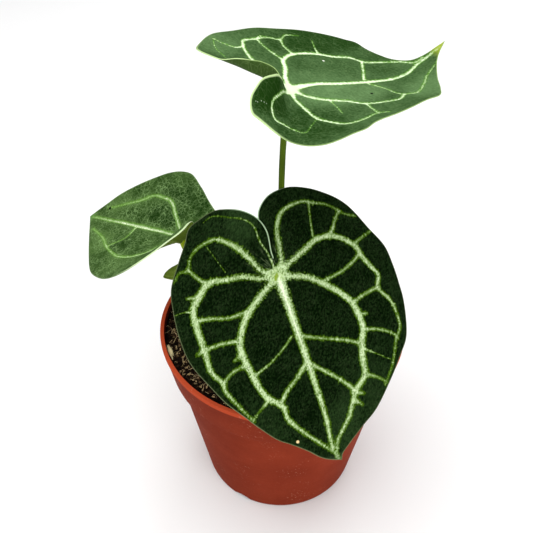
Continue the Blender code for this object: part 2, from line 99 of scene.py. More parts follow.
class Value:
    """A node's number output, with arithmetic that adds Math nodes."""

    def __init__(self, nodes: "Nodes", socket: NodeSocket) -> None:
        """Wrap a socket of this tree."""
        self.nodes = nodes
        self.socket = socket

    def _math(self, operation: str, *terms: "Value | float") -> "Value":
        """Add a Math node on these terms."""
        return self.nodes.value("ShaderNodeMath", {"operation": operation}, dict(enumerate(terms)))

    def __add__(self, other: "Value | float") -> "Value":
        """Sum."""
        return self._math("ADD", self, other)

    __radd__ = __add__

    def __sub__(self, other: "Value | float") -> "Value":
        """Difference."""
        return self._math("SUBTRACT", self, other)

    def __rsub__(self, other: float) -> "Value":
        """Reflected difference, as in 1 - mask."""
        return self._math("SUBTRACT", other, self)

    def __mul__(self, other: "Value | float") -> "Value":
        """Product."""
        return self._math("MULTIPLY", self, other)

    __rmul__ = __mul__

    def __truediv__(self, other: "Value | float") -> "Value":
        """Quotient."""
        return self._math("DIVIDE", self, other)

    def __pow__(self, other: float) -> "Value":
        """Power."""
        return self._math("POWER", self, other)

    def angle_over(self, other: "Value") -> "Value":
        """The angle, in radians, whose tangent is this over the other."""
        return self._math("ARCTAN2", self, other)

    def at_least(self, other: "Value | float") -> "Value":
        """The larger of the two."""
        return self._math("MAXIMUM", self, other)

    def at_most(self, other: "Value | float") -> "Value":
        """The smaller of the two."""
        return self._math("MINIMUM", self, other)

    def clamped(self) -> "Value":
        """This number, held between 0 and 1."""
        return self.at_least(0.0).at_most(1.0)

    def rise(self, low: float, high: float) -> "Value":
        """A smooth step from 0 at low to 1 at high, which may be the smaller one."""
        return self.nodes.value("ShaderNodeMapRange", {"interpolation_type": "SMOOTHSTEP"},
                                {"Value": self, "From Min": low, "From Max": high})


class Nodes:
    """Builds the nodes of one tree, whether of a material or of geometry."""

    def __init__(self, tree: bpy.types.NodeTree) -> None:
        """Work on this tree."""
        self.tree = tree

    def node(self, kind: str, settings: dict | None = None, inputs: dict | None = None) -> bpy.types.Node:
        """Add one node.

        Args:
            kind: the node's type.
            settings: its own settings, set first.
            inputs: values or links of its sockets, by name or number.

        Returns:
            The node.
        """
        made = self.tree.nodes.new(kind)
        for name, setting in (settings or {}).items():
            setattr(made, name, setting)
        for key, term in (inputs or {}).items():
            term = term.socket if isinstance(term, Value) else term
            if isinstance(term, NodeSocket):
                self.tree.links.new(term, made.inputs[key])
            else:
                made.inputs[key].default_value = term
        return made

    def value(self, kind: str, settings: dict | None = None, inputs: dict | None = None,
              output: int | str = 0) -> Value:
        """Add one node, as node does, and wrap one of its number outputs."""
        return Value(self, self.node(kind, settings, inputs).outputs[output])

    def pair(self, first: Value, second: Value | float = 0.0) -> NodeSocket:
        """Two numbers as a vector, with 0 for its third part."""
        return self.node("ShaderNodeCombineXYZ", None, {0: first, 1: second}).outputs[0]

    def parts(self, vector: NodeSocket) -> list[Value]:
        """The three parts of a vector."""
        return [Value(self, part) for part in self.node("ShaderNodeSeparateXYZ", None, {0: vector}).outputs]


class Paint(Nodes):
    """Builds one Principled material."""

    def __init__(self, name: str, constants: dict[str, object]) -> None:
        """Start a material.

        Args:
            name: the material's name.
            constants: shader sockets that are the same all over the surface.
        """
        self.material = bpy.data.materials.new(name)
        self.material.use_nodes = True
        super().__init__(self.material.node_tree)
        self.shader = self.tree.nodes["Principled BSDF"]
        for socket, number in constants.items():
            self.shader.inputs[socket].default_value = number
        self.color: NodeSocket | None = None

    def place(self) -> NodeSocket:
        """The point's own coordinates, in metres."""
        return self.node("ShaderNodeTexCoord").outputs["Object"]

    def attribute(self, name: str) -> Value:
        """A number stored on the mesh."""
        return self.value("ShaderNodeAttribute", {"attribute_name": name}, None, "Fac")

    def vector_attribute(self, name: str) -> NodeSocket:
        """A vector stored on the mesh."""
        return self.node("ShaderNodeAttribute", {"attribute_name": name}).outputs["Vector"]

    def stretched(self, vector: NodeSocket, scale: Triple, turn: Triple = (0, 0, 0)) -> NodeSocket:
        """Coordinates that are turned, then scaled.

        Args:
            vector: the coordinates.
            scale: scale along each axis.
            turn: turn about each axis, in degrees.

        Returns:
            The new coordinates.
        """
        turned = self.node("ShaderNodeMapping", {"vector_type": "POINT"},
                           {"Vector": vector, "Rotation": tuple(math.radians(t) for t in turn)})
        scaled = self.node("ShaderNodeMapping", {"vector_type": "POINT"},
                           {"Vector": turned.outputs[0], "Scale": scale})
        return scaled.outputs[0]

    def grain(self, vector: NodeSocket, scale: float, detail: float = 2.0,
              roughness: float = 0.5) -> Value:
        """Noise about 0.

        Args:
            vector: the coordinates.
            scale: features per unit of them.
            detail: number of finer layers.
            roughness: share of the finer layers.

        Returns:
            A number that mostly lies between -1 and 1.
        """
        made = self.value("ShaderNodeTexNoise", {"noise_dimensions": "3D"},
                          {"Vector": vector, "Scale": scale, "Detail": detail, "Roughness": roughness})
        return (made - 0.5) * 4.0

    def cells(self, vector: NodeSocket, scale: float, feature: str = "DISTANCE_TO_EDGE",
              output: str = "Distance") -> Value:
        """A pattern of cells: the net between them, or with F1 their middles or their own numbers."""
        return self.value("ShaderNodeTexVoronoi", {"feature": feature},
                          {"Vector": vector, "Scale": scale}, output)

    def mix(self, share: Value | float, below: object, above: object, blend: str = "MIX") -> NodeSocket:
        """Mix two colours.

        Args:
            share: share of the colour above.
            below, above: a colour or a colour socket.
            blend: the blend type.

        Returns:
            The mixed colour.
        """
        made = self.node("ShaderNodeMix", {"data_type": "RGBA", "blend_type": blend},
                         {0: share, 6: below, 7: above})
        return made.outputs[2]

    def lay(self, share: Value | float, color: object) -> None:
        """Lay a share of a colour over what is painted so far."""
        self.color = self.mix(share, self.color, color)

    def bump(self, height: Value, distance: float, strength: float = 1.0) -> NodeSocket:
        """A relief of the surface.

        Args:
            height: the height, in shares of the distance.
            distance: the distance, in metres.
            strength: how much of the relief shows.

        Returns:
            The bent normal.
        """
        made = self.node("ShaderNodeBump", None,
                         {"Height": height, "Distance": distance, "Strength": strength})
        return made.outputs[0]

    def done(self, roughness: Value | None = None, normal: NodeSocket | None = None) -> Material:
        """Link the colour and what else varies over the surface.

        Args:
            roughness: the roughness, if it varies.
            normal: the bent normal, if there is relief.

        Returns:
            The material.
        """
        rough = roughness.socket if roughness else None
        for label, socket in (("Base Color", self.color), ("Roughness", rough), ("Normal", normal)):
            if socket:
                self.tree.links.new(socket, self.shader.inputs[label])
        return self.material


class Relief(Nodes):
    """A Geometry Nodes tree with named inputs, run once on a carrier object."""

    def __init__(self, name: str, inputs: dict[str, str]) -> None:
        """Start a tree.

        Args:
            name: the tree's name.
            inputs: kind of each named input after the geometry, such as Float.
        """
        super().__init__(bpy.data.node_groups.new(name, "GeometryNodeTree"))
        face = self.tree.interface
        for way in ("INPUT", "OUTPUT"):
            face.new_socket("Geometry", in_out=way, socket_type="NodeSocketGeometry")
        self.identifiers = {}
        for label, kind in inputs.items():
            socket = face.new_socket(label, in_out="INPUT", socket_type=f"NodeSocket{kind}")
            self.identifiers[label] = socket.identifier
        self.start = self.node("NodeGroupInput")
        self.end = self.node("NodeGroupOutput")

    def given(self, label: str) -> NodeSocket:
        """The socket of a named input."""
        return self.start.outputs[label]

    def marked(self, geometry: NodeSocket, label: str, number: Value | NodeSocket,
               domain: str = "POINT") -> NodeSocket:
        """Store a number on the geometry.

        Args:
            geometry: the geometry.
            label: the number's name.
            number: the number.
            domain: what the number is stored on.

        Returns:
            The geometry with the number.
        """
        made = self.node("GeometryNodeStoreNamedAttribute", {"data_type": "FLOAT", "domain": domain},
                         {"Geometry": geometry, "Name": label, "Value": number})
        return made.outputs[0]

    def close(self, geometry: NodeSocket) -> None:
        """End the tree in Realize Instances and Set Material.

        Args:
            geometry: what the tree has made; the input Finish dresses it.
        """
        real = self.node("GeometryNodeRealizeInstances", None, {"Geometry": geometry})
        dressed = self.node("GeometryNodeSetMaterial", None,
                            {"Geometry": real.outputs[0], "Material": self.given("Finish")})
        self.tree.links.new(dressed.outputs[0], self.end.inputs[0])

    def run(self, carrier: Object, name: str, settings: dict[str, object]) -> Object:
        """Run the tree on a carrier and keep the result as a plain mesh.

        Args:
            carrier: the object that the tree starts from; it is removed.
            name: the new object's name.
            settings: value of each named input.

        Returns:
            The new object.
        """
        modifier = carrier.modifiers.new(name, "NODES")
        modifier.node_group = self.tree
        for label, setting in settings.items():
            modifier[self.identifiers[label]] = setting
        return plain_mesh(carrier, name)


def link_object(name: str, data: bpy.types.ID) -> Object:
    """Link a new object to the scene.

    Args:
        name: the object's name.
        data: the mesh, curve, light or camera that it holds.

    Returns:
        The object.
    """
    made = bpy.data.objects.new(name, data)
    bpy.context.scene.collection.objects.link(made)
    return made


def plain_mesh(carrier: Object, name: str) -> Object:
    """Turn an object with modifiers into a plain mesh object.

    Args:
        carrier: the object; it is removed.
        name: the new object's name.

    Returns:
        The new object.
    """
    bpy.context.view_layer.update()
    evaluated = carrier.evaluated_get(bpy.context.evaluated_depsgraph_get())
    mesh = bpy.data.meshes.new_from_object(evaluated)
    bpy.data.objects.remove(carrier, do_unlink=True)
    mesh.name = name
    return link_object(name, mesh)


def mesh_from(bm: bmesh.types.BMesh, name: str) -> Mesh:
    """Write a bmesh into a new mesh.

    Args:
        bm: the bmesh; it is freed.
        name: the mesh's name.

    Returns:
        The mesh.
    """
    mesh = bpy.data.meshes.new(name)
    bm.to_mesh(mesh)
    bm.free()
    return mesh


def store_numbers(mesh: Mesh, label: str, numbers: np.ndarray | list[float]) -> None:
    """Store one number on each point of a mesh."""
    data = mesh.attributes.new(label, "FLOAT", "POINT").data
    data.foreach_set("value", np.asarray(numbers, np.float32))


# Flat drawing

CURVE_PIECES = 12
MIDRIB_STEPS = 961


def smooth_step(value: np.ndarray, low: float, high: float) -> np.ndarray:
    """A smooth rise from 0 at low to 1 at high."""
    share = np.clip((value - low) / (high - low), 0, 1)
    return share * share * (3 - 2 * share)


def blend(start: np.ndarray, end: np.ndarray, t: float, low: float, high: float) -> np.ndarray:
    """The point at t of a line that is at start where t is low and at end where t is high."""
    return start + (end - start) * (t - low) / (high - low)


def through(points: Points, step: float) -> np.ndarray:
    """Draw a smooth open curve through points.

    Args:
        points: the points that the curve passes, two or more.
        step: distance between the points of the result.

    Returns:
        An array of points about a step apart.
    """
    points = np.array(points, float)
    ends = np.vstack([2 * points[0] - points[1], points, 2 * points[-1] - points[-2]])
    run = []
    for before, start, end, after in zip(ends, ends[1:], ends[2:], ends[3:]):
        k0, k1, k2, k3 = np.cumsum([0] + [
            max(np.linalg.norm(b - a), 1e-6) ** 0.5
            for a, b in ((before, start), (start, end), (end, after))
        ])
        for t in np.linspace(k1, k2, CURVE_PIECES, endpoint=False):
            a1 = blend(before, start, t, k0, k1)
            a2 = blend(start, end, t, k1, k2)
            a3 = blend(end, after, t, k2, k3)
            b1, b2 = blend(a1, a2, t, k0, k2), blend(a2, a3, t, k1, k3)
            run.append(blend(b1, b2, t, k1, k2))
    run.append(points[-1])
    run = np.array(run)
    length = np.concatenate([[0], np.cumsum(np.linalg.norm(np.diff(run, axis=0), axis=1))])
    marks = np.linspace(0, length[-1], max(2, round(length[-1] / step) + 1))
    return np.column_stack([np.interp(marks, length, run[:, axis]) for axis in (0, 1)])


def inside(points: np.ndarray, loop: np.ndarray) -> np.ndarray:
    """Which of the points lie within a closed loop.

    Args:
        points: flat points.
        loop: the loop's points, the first one only once.

    Returns:
        True for each point within.
    """
    x, y = points[:, 0], points[:, 1]
    found = np.zeros(len(points), bool)
    for (x0, y0), (x1, y1) in zip(loop, np.roll(loop, -1, axis=0)):
        if y0 != y1:
            found ^= ((y0 > y) != (y1 > y)) & (x < x0 + (y - y0) * (x1 - x0) / (y1 - y0))
    return found


def depth_in(points: np.ndarray, line: np.ndarray, half_widths: np.ndarray) -> tuple[np.ndarray, np.ndarray]:
    """How far points lie within a line of varying width, and where along it.

    Args:
        points: flat points.
        line: the line's points.
        half_widths: the line's half width at each of its points.

    Returns:
        Half width less distance at each point, positive within the line, and the distance along the
        line of the nearest place on it.
    """
    best = np.full(len(points), -np.inf)
    run = np.zeros(len(points))
    walked = 0.0
    for index in range(len(line) - 1):
        step = line[index + 1] - line[index]
        length = float(np.hypot(*step))
        share = np.clip((points - line[index]) @ step / length**2, 0, 1)
        away = np.linalg.norm(points - line[index] - share[:, None] * step, axis=1)
        depth = half_widths[index] + (half_widths[index + 1] - half_widths[index]) * share - away
        nearer = depth > best
        best = np.where(nearer, depth, best)
        run = np.where(nearer, walked + share * length, run)
        walked += length
    return best, run


@dataclass(frozen=True)
class Half:
    """How one half of a blade leaves the midrib; angles in degrees, up positive."""

    fold: float = 0.0
    opening: float = 0.0
    cup: float = 0.0
    lobe_lift: float = 0.0
    lobe_from: float = 110.0
    lobe_turn: float = 0.0


@dataclass(frozen=True)
class Bend:
    """Where a blade stands and how it arches; lengths in millimetres, angles in degrees."""

    joint: Triple
    heading: float
    pitch: float
    length: float
    width: float
    left: Half
    right: Half
    roll: float = 0.0
    arch: float = 0.0
    arch_back: float = 0.0
    curl: float = 0.0
    curl_from: float = 0.6
    lobe_near: float = 25.0
    wave: float = 0.0
    wave_length: float = 60.0

    def directions(self) -> tuple[np.ndarray, np.ndarray, np.ndarray]:
        """The blade's directions at its joint.

        Returns:
            Unit vectors to the tip, to the left, and up from its face.
        """
        heading, pitch, roll = (math.radians(v) for v in (self.heading, self.pitch, self.roll))
        tip = np.array([
            math.cos(pitch) * math.cos(heading), math.cos(pitch) * math.sin(heading), math.sin(pitch)
        ])
        level = np.array([-math.sin(heading), math.cos(heading), 0.0])
        left = level * math.cos(roll) + np.cross(tip, level) * math.sin(roll)
        return tip, left, np.cross(tip, left)

    def place(self, flat: np.ndarray, raised: np.ndarray | float = 0.0) -> np.ndarray:
        """Bend flat points to their places in the plant.

        Args:
            flat: (along, across) of each point, in millimetres.
            raised: height of each point above the blade's face, in millimetres.

        Returns:
            Places in millimetres, in the part's frame.
        """
        flat = np.atleast_2d(np.asarray(flat, float))
        on_left = flat[:, 1] >= 0

        def pick(field: str) -> np.ndarray:
            """Each point's value of a setting of its half."""
            return np.where(on_left, getattr(self.left, field), getattr(self.right, field))

        away = np.hypot(flat[:, 0], flat[:, 1])
        angle = np.arctan2(flat[:, 1], flat[:, 0])
        behind = np.clip(np.abs(angle) / (math.pi / 2) - 1, 0, 1)
        angle = angle + np.sign(flat[:, 1]) * np.radians(pick("lobe_turn")) * behind**2
        along, across = away * np.cos(angle), away * np.sin(angle)

        forward, upward, slope = self._midrib(along)
        fold = np.radians(pick("fold") + pick("opening") * np.clip(along / self.length, -0.6, 1.0))
        half_turn = 0.5 * np.radians(pick("cup")) / self.width * np.abs(across)
        chord = np.abs(across) * np.sinc(half_turn / math.pi)
        out = chord * np.cos(fold + half_turn)
        lift = chord * np.sin(fold + half_turn) + raised
        turned_by = np.abs(np.degrees(angle))
        turn_share = (turned_by - pick("lobe_from")) / (180 - pick("lobe_from"))
        lift += pick("lobe_lift") * smooth_step(turn_share, 0, 1) * smooth_step(away, 1, self.lobe_near)
        ripple = np.sin(2 * math.pi * along / self.wave_length)
        lift += self.wave * (np.abs(across) / self.width) ** 2 * ripple

        tip, left, up = self.directions()
        face = np.cos(slope)[:, None] * up - np.sin(slope)[:, None] * tip
        return (
            np.array(self.joint) + forward[:, None] * tip + upward[:, None] * up
            + (np.sign(across) * out)[:, None] * left + lift[:, None] * face
        )

    def _midrib(self, along: np.ndarray) -> list[np.ndarray]:
        """Follow the arched midrib, by adding up its slope in small steps.

        Args:
            along: distances along it from the joint.

        Returns:
            How far forward and how far up each of them lies, and the slope there.
        """
        walk = np.linspace(-1.2 * self.length, 1.2 * self.length, MIDRIB_STEPS)
        share = walk / self.length
        slope = np.radians(np.where(share >= 0, self.arch, self.arch_back)) * share
        slope = slope + math.radians(self.curl) * np.clip(share - self.curl_from, 0, None) ** 2
        found = []
        for part in (np.cos(slope), np.sin(slope)):
            gone = np.concatenate([[0], np.cumsum((part[1:] + part[:-1]) * (walk[1] - walk[0]) / 2)])
            found.append(np.interp(along, walk, gone - gone[len(walk) // 2]))
        return [*found, np.interp(along, walk, slope)]


@dataclass(frozen=True)
class Vein:
    """A vein's points, its half width in millimetres at even steps along it, and how crisp its sides are."""

    points: Points
    widths: tuple[float, ...]
    crisp: float = 1.0

    def depth(self, flat: np.ndarray) -> tuple[np.ndarray, np.ndarray]:
        """Where flat points lie beside the vein.

        Args:
            flat: the points.

        Returns:
            How far each lies within the vein, negative outside, and its distance along the vein.
        """
        line = through(self.points, 1.2)
        share = np.linspace(0, 1, len(line))
        marks = np.linspace(0, 1, len(self.widths))
        depth, run = depth_in(flat, line, np.interp(share, marks, self.widths))
        return depth * self.crisp, run


class Tone(Enum):
    """Colours of small marks on a blade."""

    WHITE = srgb(225, 230, 215)
    PALE = srgb(172, 192, 160)
    TAN = srgb(224, 200, 146)
    DARK = srgb(14, 16, 12)


@dataclass(frozen=True)
class Speck:
    """A small mark on a blade's face; millimetres."""

    along: float
    across: float
    radius: float
    tone: Tone


@dataclass(frozen=True)
class Shade:
    """A soft oval of painted light on a blade's face: painted sheen where the shift lifts the tone, painted
    shade where the shift is negative; millimetres.
    """

    along: float
    across: float
    length: float
    width: float
    shift: float

    def weight(self, along: Value, across: Value) -> Value:
        """The shade's share at a point: 1 around its middle, 0 from its border on."""
        away = ((along - self.along) / self.length) ** 2.0 + ((across - self.across) / self.width) ** 2.0
        return away.rise(1.0, 0.1)


# Leaf finishes

HALO_BLUR = 0.8
VEIN_BLUR = 0.6
CORE_BLUR = 0.9
NOTCH_BLUR = 25.0
TIP_BLUR = 6.0
FOLD_TURN = (80.0, 105.0)
SPOT_TURN = (0.8, 0.6)


class BladeMarks:
    """What velvet is painted from: the numbers stored on a blade, and the noises of its pile."""

    def __init__(self, paint: Paint, turn: float) -> None:
        """Read the numbers and make the noises.

        Args:
            paint: the material in the making.
            turn: how far the pile slants from the midrib, in degrees.
        """
        self.paint = paint
        self.flat = paint.vector_attribute("flat")
        self.along, self.across, _ = paint.parts(self.flat)
        self.square = self.along * self.along + self.across * self.across
        self.vein, self.margin, self.turned, run = (
            paint.attribute(name) for name in ("vein", "margin", "turned", "run")
        )
        lie = paint.stretched(self.flat, (1.3, 2.7, 1.0), (0, 0, turn))
        self.hairs = (paint.cells(lie, 1.0, "F1", "Color") - 0.5) * 3.0
        self.pile = self.hairs * 0.8 + paint.grain(self.flat, 1.1, 2.0, 0.8) * 0.25
        self.fuzz = paint.grain(self.flat, 1.3, 3.0, 0.8)
        self.cloud = paint.grain(self.flat, 0.085, 3.0, 0.6)
        self.swell = paint.grain(paint.pair(run * 0.22), 1.0)
        self.tooth = paint.grain(paint.pair(run, self.vein * 0.22), 0.7, 2.0, 0.7).at_least(0.0) ** 1.5


@dataclass(frozen=True)
class VelvetFinish:
    """The upper face of a blade: velvet with pale, feathered veins and a fine net, with painted sheen (silky
    streaks, a paler margin, lighter patches) and painted shade (darker patches).
    """

    name: str
    deep: Color
    light: Color
    halo: Color
    vein: Color
    core: Color
    edge: Color
    tip: Color
    notch: Color = srgb(214, 222, 200)
    silk_sheen: Color = srgb(130, 160, 110)
    joint: Color = srgb(236, 250, 218)
    spot: Color = srgb(118, 146, 2)
    base: float = 0.25
    grain: float = 0.22
    cloud: float = 0.2
    speckle: float = 0.3
    sheen_and_shade: tuple[Shade, ...] = ()
    margin_sheen: float = 0.0
    glow: float = 0.0
    feather: float = 0.4
    teeth: float = 0.9
    halo_from: float = -1.15
    vein_from: float = -0.55
    core_from: float = 0.4
    rays: float = 0.0
    ray_length: float = 16.0
    joint_patch: float = 0.0
    joint_center: float = 0.0
    joint_reach: float = 4.2
    joint_feather: float = 0.0
    joint_web: float = 0.0
    joint_glow: float = 0.0
    joint_spot: float = 0.0
    net: float = 0.0
    threads: float = 0.0
    streaks: float = 0.0
    streak_turn: float = 38.0
    fold_edge: float = 0.0
    notch_width: float = 0.5
    specular: float = 0.10
    sheen: float = 0.04
    tip_from: float = 1000.0
    notch_from: float = 118.0
    specks: tuple[Speck, ...] = ()

    def make(self) -> Material:
        """Build the material.

        Returns:
            The material.
        """
        paint = Paint(self.name, {
            "Specular IOR Level": self.specular, "Sheen Weight": self.sheen, "Sheen Roughness": 0.45,
            "Sheen Tint": srgb(200, 225, 195),
        })
        marks = BladeMarks(paint, self.streak_turn)
        self._lamina(marks)
        if self.streaks:
            self._lay_silk_sheen(marks)
        if self.net or self.threads:
            self._net(marks)
        core = self._veins(marks)
        self._joint(marks)
        self._border(marks)
        for speck in self.specks:
            away = ((marks.along - speck.along) ** 2.0 + (marks.across - speck.across) ** 2.0) ** 0.5
            paint.lay((away + marks.fuzz * 0.12).rise(speck.radius * 1.25, speck.radius * 0.75),
                      speck.tone.value)
        height = marks.pile * 0.2 + core * 0.25 + marks.cloud * 0.2
        return paint.done(marks.pile * 0.03 + 0.60, paint.bump(height, 0.00015, 0.6))

    def _lamina(self, marks: BladeMarks) -> None:
        """Paint the velvet between the veins.

        Args:
            marks: what the blade is painted from.
        """
        tone = marks.cloud * self.cloud + marks.pile * self.grain
        # painted sheen: the velvet turns lighter towards the blade's margin
        tone = tone + marks.margin.rise(16.0, 0.0) * self.margin_sheen + self.base
        tone = tone + marks.vein.rise(-4.5, 0.0) * self.glow
        # painted sheen and painted shade: lighter and darker ovals laid on the velvet's tone
        for shade in self.sheen_and_shade:
            tone = tone + shade.weight(marks.along, marks.across) * shade.shift
        marks.paint.color = marks.paint.mix(tone.clamped(), self.deep, self.light)

    def _veins(self, marks: BladeMarks) -> Value:
        """Paint the veins: a halo, a fibrous body and a bright core, webbed around the joint.

        Args:
            marks: what the blade is painted from.

        Returns:
            How far each point is core.
        """
        paint, hairs, fuzz = marks.paint, marks.hairs, marks.fuzz
        ragged = fuzz * (marks.square.rise(500.0, 20.0) * self.joint_feather)
        behind = ((marks.along + 1.5) * (marks.along + 1.5) + marks.across * marks.across) ** 0.5
        web = (behind + fuzz).rise(self.joint_reach, 0.0) * self.joint_web
        reach = marks.vein + fuzz * self.feather + marks.tooth * self.teeth + hairs * 0.16
        reach = reach + marks.swell * 0.14 - 0.1 + ragged + web
        paint.lay(reach.rise(self.halo_from, self.halo_from + HALO_BLUR), self.halo)
        body = (reach + marks.pile * 0.15).rise(self.vein_from, self.vein_from + VEIN_BLUR)
        fibrous = paint.mix((hairs * self.speckle + 0.1).at_least(0.0), self.vein, self.halo)
        paint.lay(body, paint.mix((hairs * self.speckle * -0.5).at_least(0.0), fibrous, self.core))
        core = marks.vein + fuzz * 0.3 + marks.swell * 0.14 + hairs * 0.3 + ragged + web * self.joint_glow
        core = core.rise(self.core_from, self.core_from + CORE_BLUR)
        paint.lay(core, self.core)
        return core

    def _joint(self, marks: BladeMarks) -> None:
        """Paint the joint: a fuzzy patch, a bright spot, and pale rays that fan out behind it.

        Args:
            marks: what the blade is painted from.
        """
        paint, along, across, fuzz = marks.paint, marks.along, marks.across, marks.fuzz
        away = marks.square ** 0.5
        angle = across.angle_over(0.0 - along)
        rays = paint.grain(paint.pair(angle * 9.0, away * 0.12), 1.0, 3.0, 0.7)
        fan = (angle * angle).rise(1.3, 0.5) * away.rise(self.ray_length, 2.0)
        paint.lay(rays.rise(0.1, 1.3) * fan * self.rays, self.vein)
        patch = away + fuzz * 0.9 + rays * 0.6
        paint.lay(patch.rise(self.joint_reach, self.joint_reach / 3) * self.joint_patch, self.vein)
        paint.lay(patch.rise(self.joint_reach * 0.6, 0.5) * self.joint_center, self.joint)
        far, near = SPOT_TURN
        slanted = across * far + along * near + 0.5
        lengthwise = across * near - along * far + 0.6
        spot = (slanted * slanted * 4.0 + lengthwise * lengthwise * 0.7 + fuzz * 1.6 + rays).rise(4.0, 1.0)
        paint.lay(spot * self.joint_spot, self.spot)

    def _border(self, marks: BladeMarks) -> None:
        """Paint the blade's edge, its folded edge, the notch and the tip.

        Args:
            marks: what the blade is painted from.
        """
        paint, margin, fuzz = marks.paint, marks.margin, marks.fuzz
        paint.lay(margin.rise(0.40, 0.15) * 0.5, self.edge)
        if self.fold_edge:
            fold = (margin + fuzz * 0.1).rise(1.1, 0.6)
            fold = fold * marks.turned.rise(*FOLD_TURN) * marks.across.rise(0.0, 4.0)
            paint.lay(fold * self.fold_edge, self.notch)
        notch = (margin + fuzz * 0.06).rise(self.notch_width, self.notch_width * 0.4)
        notch = notch * marks.turned.rise(self.notch_from, self.notch_from + NOTCH_BLUR)
        paint.lay(notch * 0.75, self.notch)
        paint.lay(marks.along.rise(self.tip_from, self.tip_from + TIP_BLUR) * 0.85, self.tip)

    def _lay_silk_sheen(self, marks: BladeMarks) -> None:
        """Lay fine, pale, slanting streaks of painted sheen over the velvet.

        Args:
            marks: what the blade is painted from.
        """
        paint, flat = marks.paint, marks.flat
        slanted = paint.stretched(flat, (0.09, 1.7, 1.0), (0, 0, self.streak_turn))
        lines = paint.grain(slanted, 1.0, 3.0, 0.7).rise(0.0, 1.2)
        patchy = paint.grain(flat, 0.11, 2.0, 0.6).rise(-1.0, 1.0)
        paint.lay(lines * patchy * self.streaks, self.silk_sheen)

    def _net(self, marks: BladeMarks) -> None:
        """Lay the fine net of the smallest veins over the velvet.

        Args:
            marks: what the blade is painted from.
        """
        paint, flat = marks.paint, marks.flat
        stray = paint.node("ShaderNodeTexNoise", {"noise_dimensions": "3D"},
                           {"Vector": flat, "Scale": 0.35, "Detail": 2.0}).outputs["Color"]
        bent = paint.node("ShaderNodeVectorMath", {"operation": "ADD"}, {0: flat, 1: stray}).outputs[0]
        wide, fine, tiny = (
            paint.cells(paint.stretched(bent, (*scale, 1.0), (0, 0, turn)), 1.0)
            for scale, turn in (((0.30, 0.26), 20), ((0.75, 0.65), -35), ((0.50, 0.36), 50))
        )
        patchy = paint.grain(flat, 0.16, 2.0, 0.6).rise(-1.0, 0.8)
        lines = (wide.rise(0.06, 0.0) * 0.8 + fine.rise(0.09, 0.0) * 0.5) * patchy * self.net
        paint.lay(lines.at_most(1.0), self.vein)
        # the finest threads take the pale colour of the painted sheen
        lines = (tiny.rise(0.09, 0.01) + fine.rise(0.10, 0.01) * 0.5) * patchy * self.threads
        paint.lay(lines.at_most(1.0), self.silk_sheen)


@dataclass(frozen=True)
class UndersideFinish:
    """The under face of a blade: matt pale green, with paler raised veins and a fine net."""

    name: str
    lamina: Color
    vein: Color

    def make(self) -> Material:
        """Build the material.

        Returns:
            The material.
        """
        paint = Paint(self.name, {"Specular IOR Level": 0.01})
        flat = paint.vector_attribute("flat")
        vein = paint.attribute("vein")
        cloud = paint.grain(flat, 0.12, 3.0, 0.6)
        pile = paint.grain(flat, 4.0, 2.0, 0.7)
        net = paint.cells(flat, 0.36).rise(0.05, 0.0) * 0.45 + paint.cells(flat, 1.1).rise(0.08, 0.0) * 0.25
        darker = paint.mix(0.45, self.lamina, srgb(20, 30, 12), "MULTIPLY")
        paint.color = paint.mix((cloud * 0.25 + pile * 0.1 + 0.3).clamped(), self.lamina, darker)
        paint.lay(net, self.vein)
        paint.lay((vein + cloud * 0.05).rise(-0.35, 0.35) * 0.85, self.vein)
        return paint.done(pile * 0.03 + 0.6, paint.bump(net + pile * 0.12, 0.0002, 0.6))


@dataclass(frozen=True)
class RimFinish:
    """The thin cut edge of a blade, palest beside the notch."""

    name: str
    edge: Color
    notch: Color
    notch_from: float = 118.0

    def make(self) -> Material:
        """Build the material.

        Returns:
            The material.
        """
        paint = Paint(self.name, {"Specular IOR Level": 0.02})
        flat = paint.vector_attribute("flat")
        away = paint.value("ShaderNodeVectorMath", {"operation": "LENGTH"}, {0: flat}, "Value")
        notch = paint.attribute("turned").rise(self.notch_from, self.notch_from + NOTCH_BLUR)
        notch = notch * away.rise(15.0, 21.0)
        mottle = paint.grain(flat, 0.5, 3.0, 0.6)
        paint.color = paint.mix((notch + mottle * 0.05).clamped(), self.edge, self.notch)
        paint.lay(mottle.rise(0.2, 1.5) * 0.3, srgb(90, 110, 60))
        return paint.done(mottle * 0.04 + 0.5)


@dataclass(frozen=True)
class StalkFinish:
    """A petiole's skin: yellow-green with dark speckles, drawn out lengthwise, browner at its root."""

    name: str
    green: Color = srgb(84, 108, 22)
    dark: Color = srgb(38, 52, 12)
    root: Color = srgb(118, 88, 52)
    knee: Color = srgb(66, 96, 30)

    def make(self) -> Material:
        """Build the material.

        Returns:
            The material.
        """
        paint = Paint(self.name, {"Specular IOR Level": 0.04})
        place = paint.place()
        along = paint.attribute("along")
        knee = paint.attribute("knee")
        lines = paint.grain(paint.stretched(place, (1400.0, 1400.0, 110.0)), 1.0, 3.0, 0.6)
        spots = paint.grain(paint.stretched(place, (1500.0, 1500.0, 520.0)), 1.0, 2.0, 0.7)
        patches = paint.grain(place, 90.0, 2.0, 0.5)
        tone = lines * 0.25 + patches * 0.15 + 0.35
        paint.color = paint.mix(tone.clamped(), self.green, self.dark)
        paint.lay(spots.rise(0.5, 1.1) * 0.75, srgb(34, 38, 20))
        paint.lay(knee * 0.6, self.knee)
        paint.lay((along + patches * 0.002).rise(0.020, 0.003) * 0.8, self.root)
        return paint.done(patches * 0.04 + 0.42, paint.bump(lines * 0.25 + spots * 0.15, 0.0002, 0.7))


# Leaves


# Millimetres

QUILT_SPAN = 3.0
RIPPLE = 0.22
RIM_BULGE = 0.11


@dataclass(frozen=True)
class Stalk:
    """A petiole's route: its root on the crown and its reach at each end, in millimetres."""

    root: tuple[float, float]
    rise: float
    reach: float
    sway: tuple[float, float] = (0.0, 0.0)
    stoutness: float = 1.0


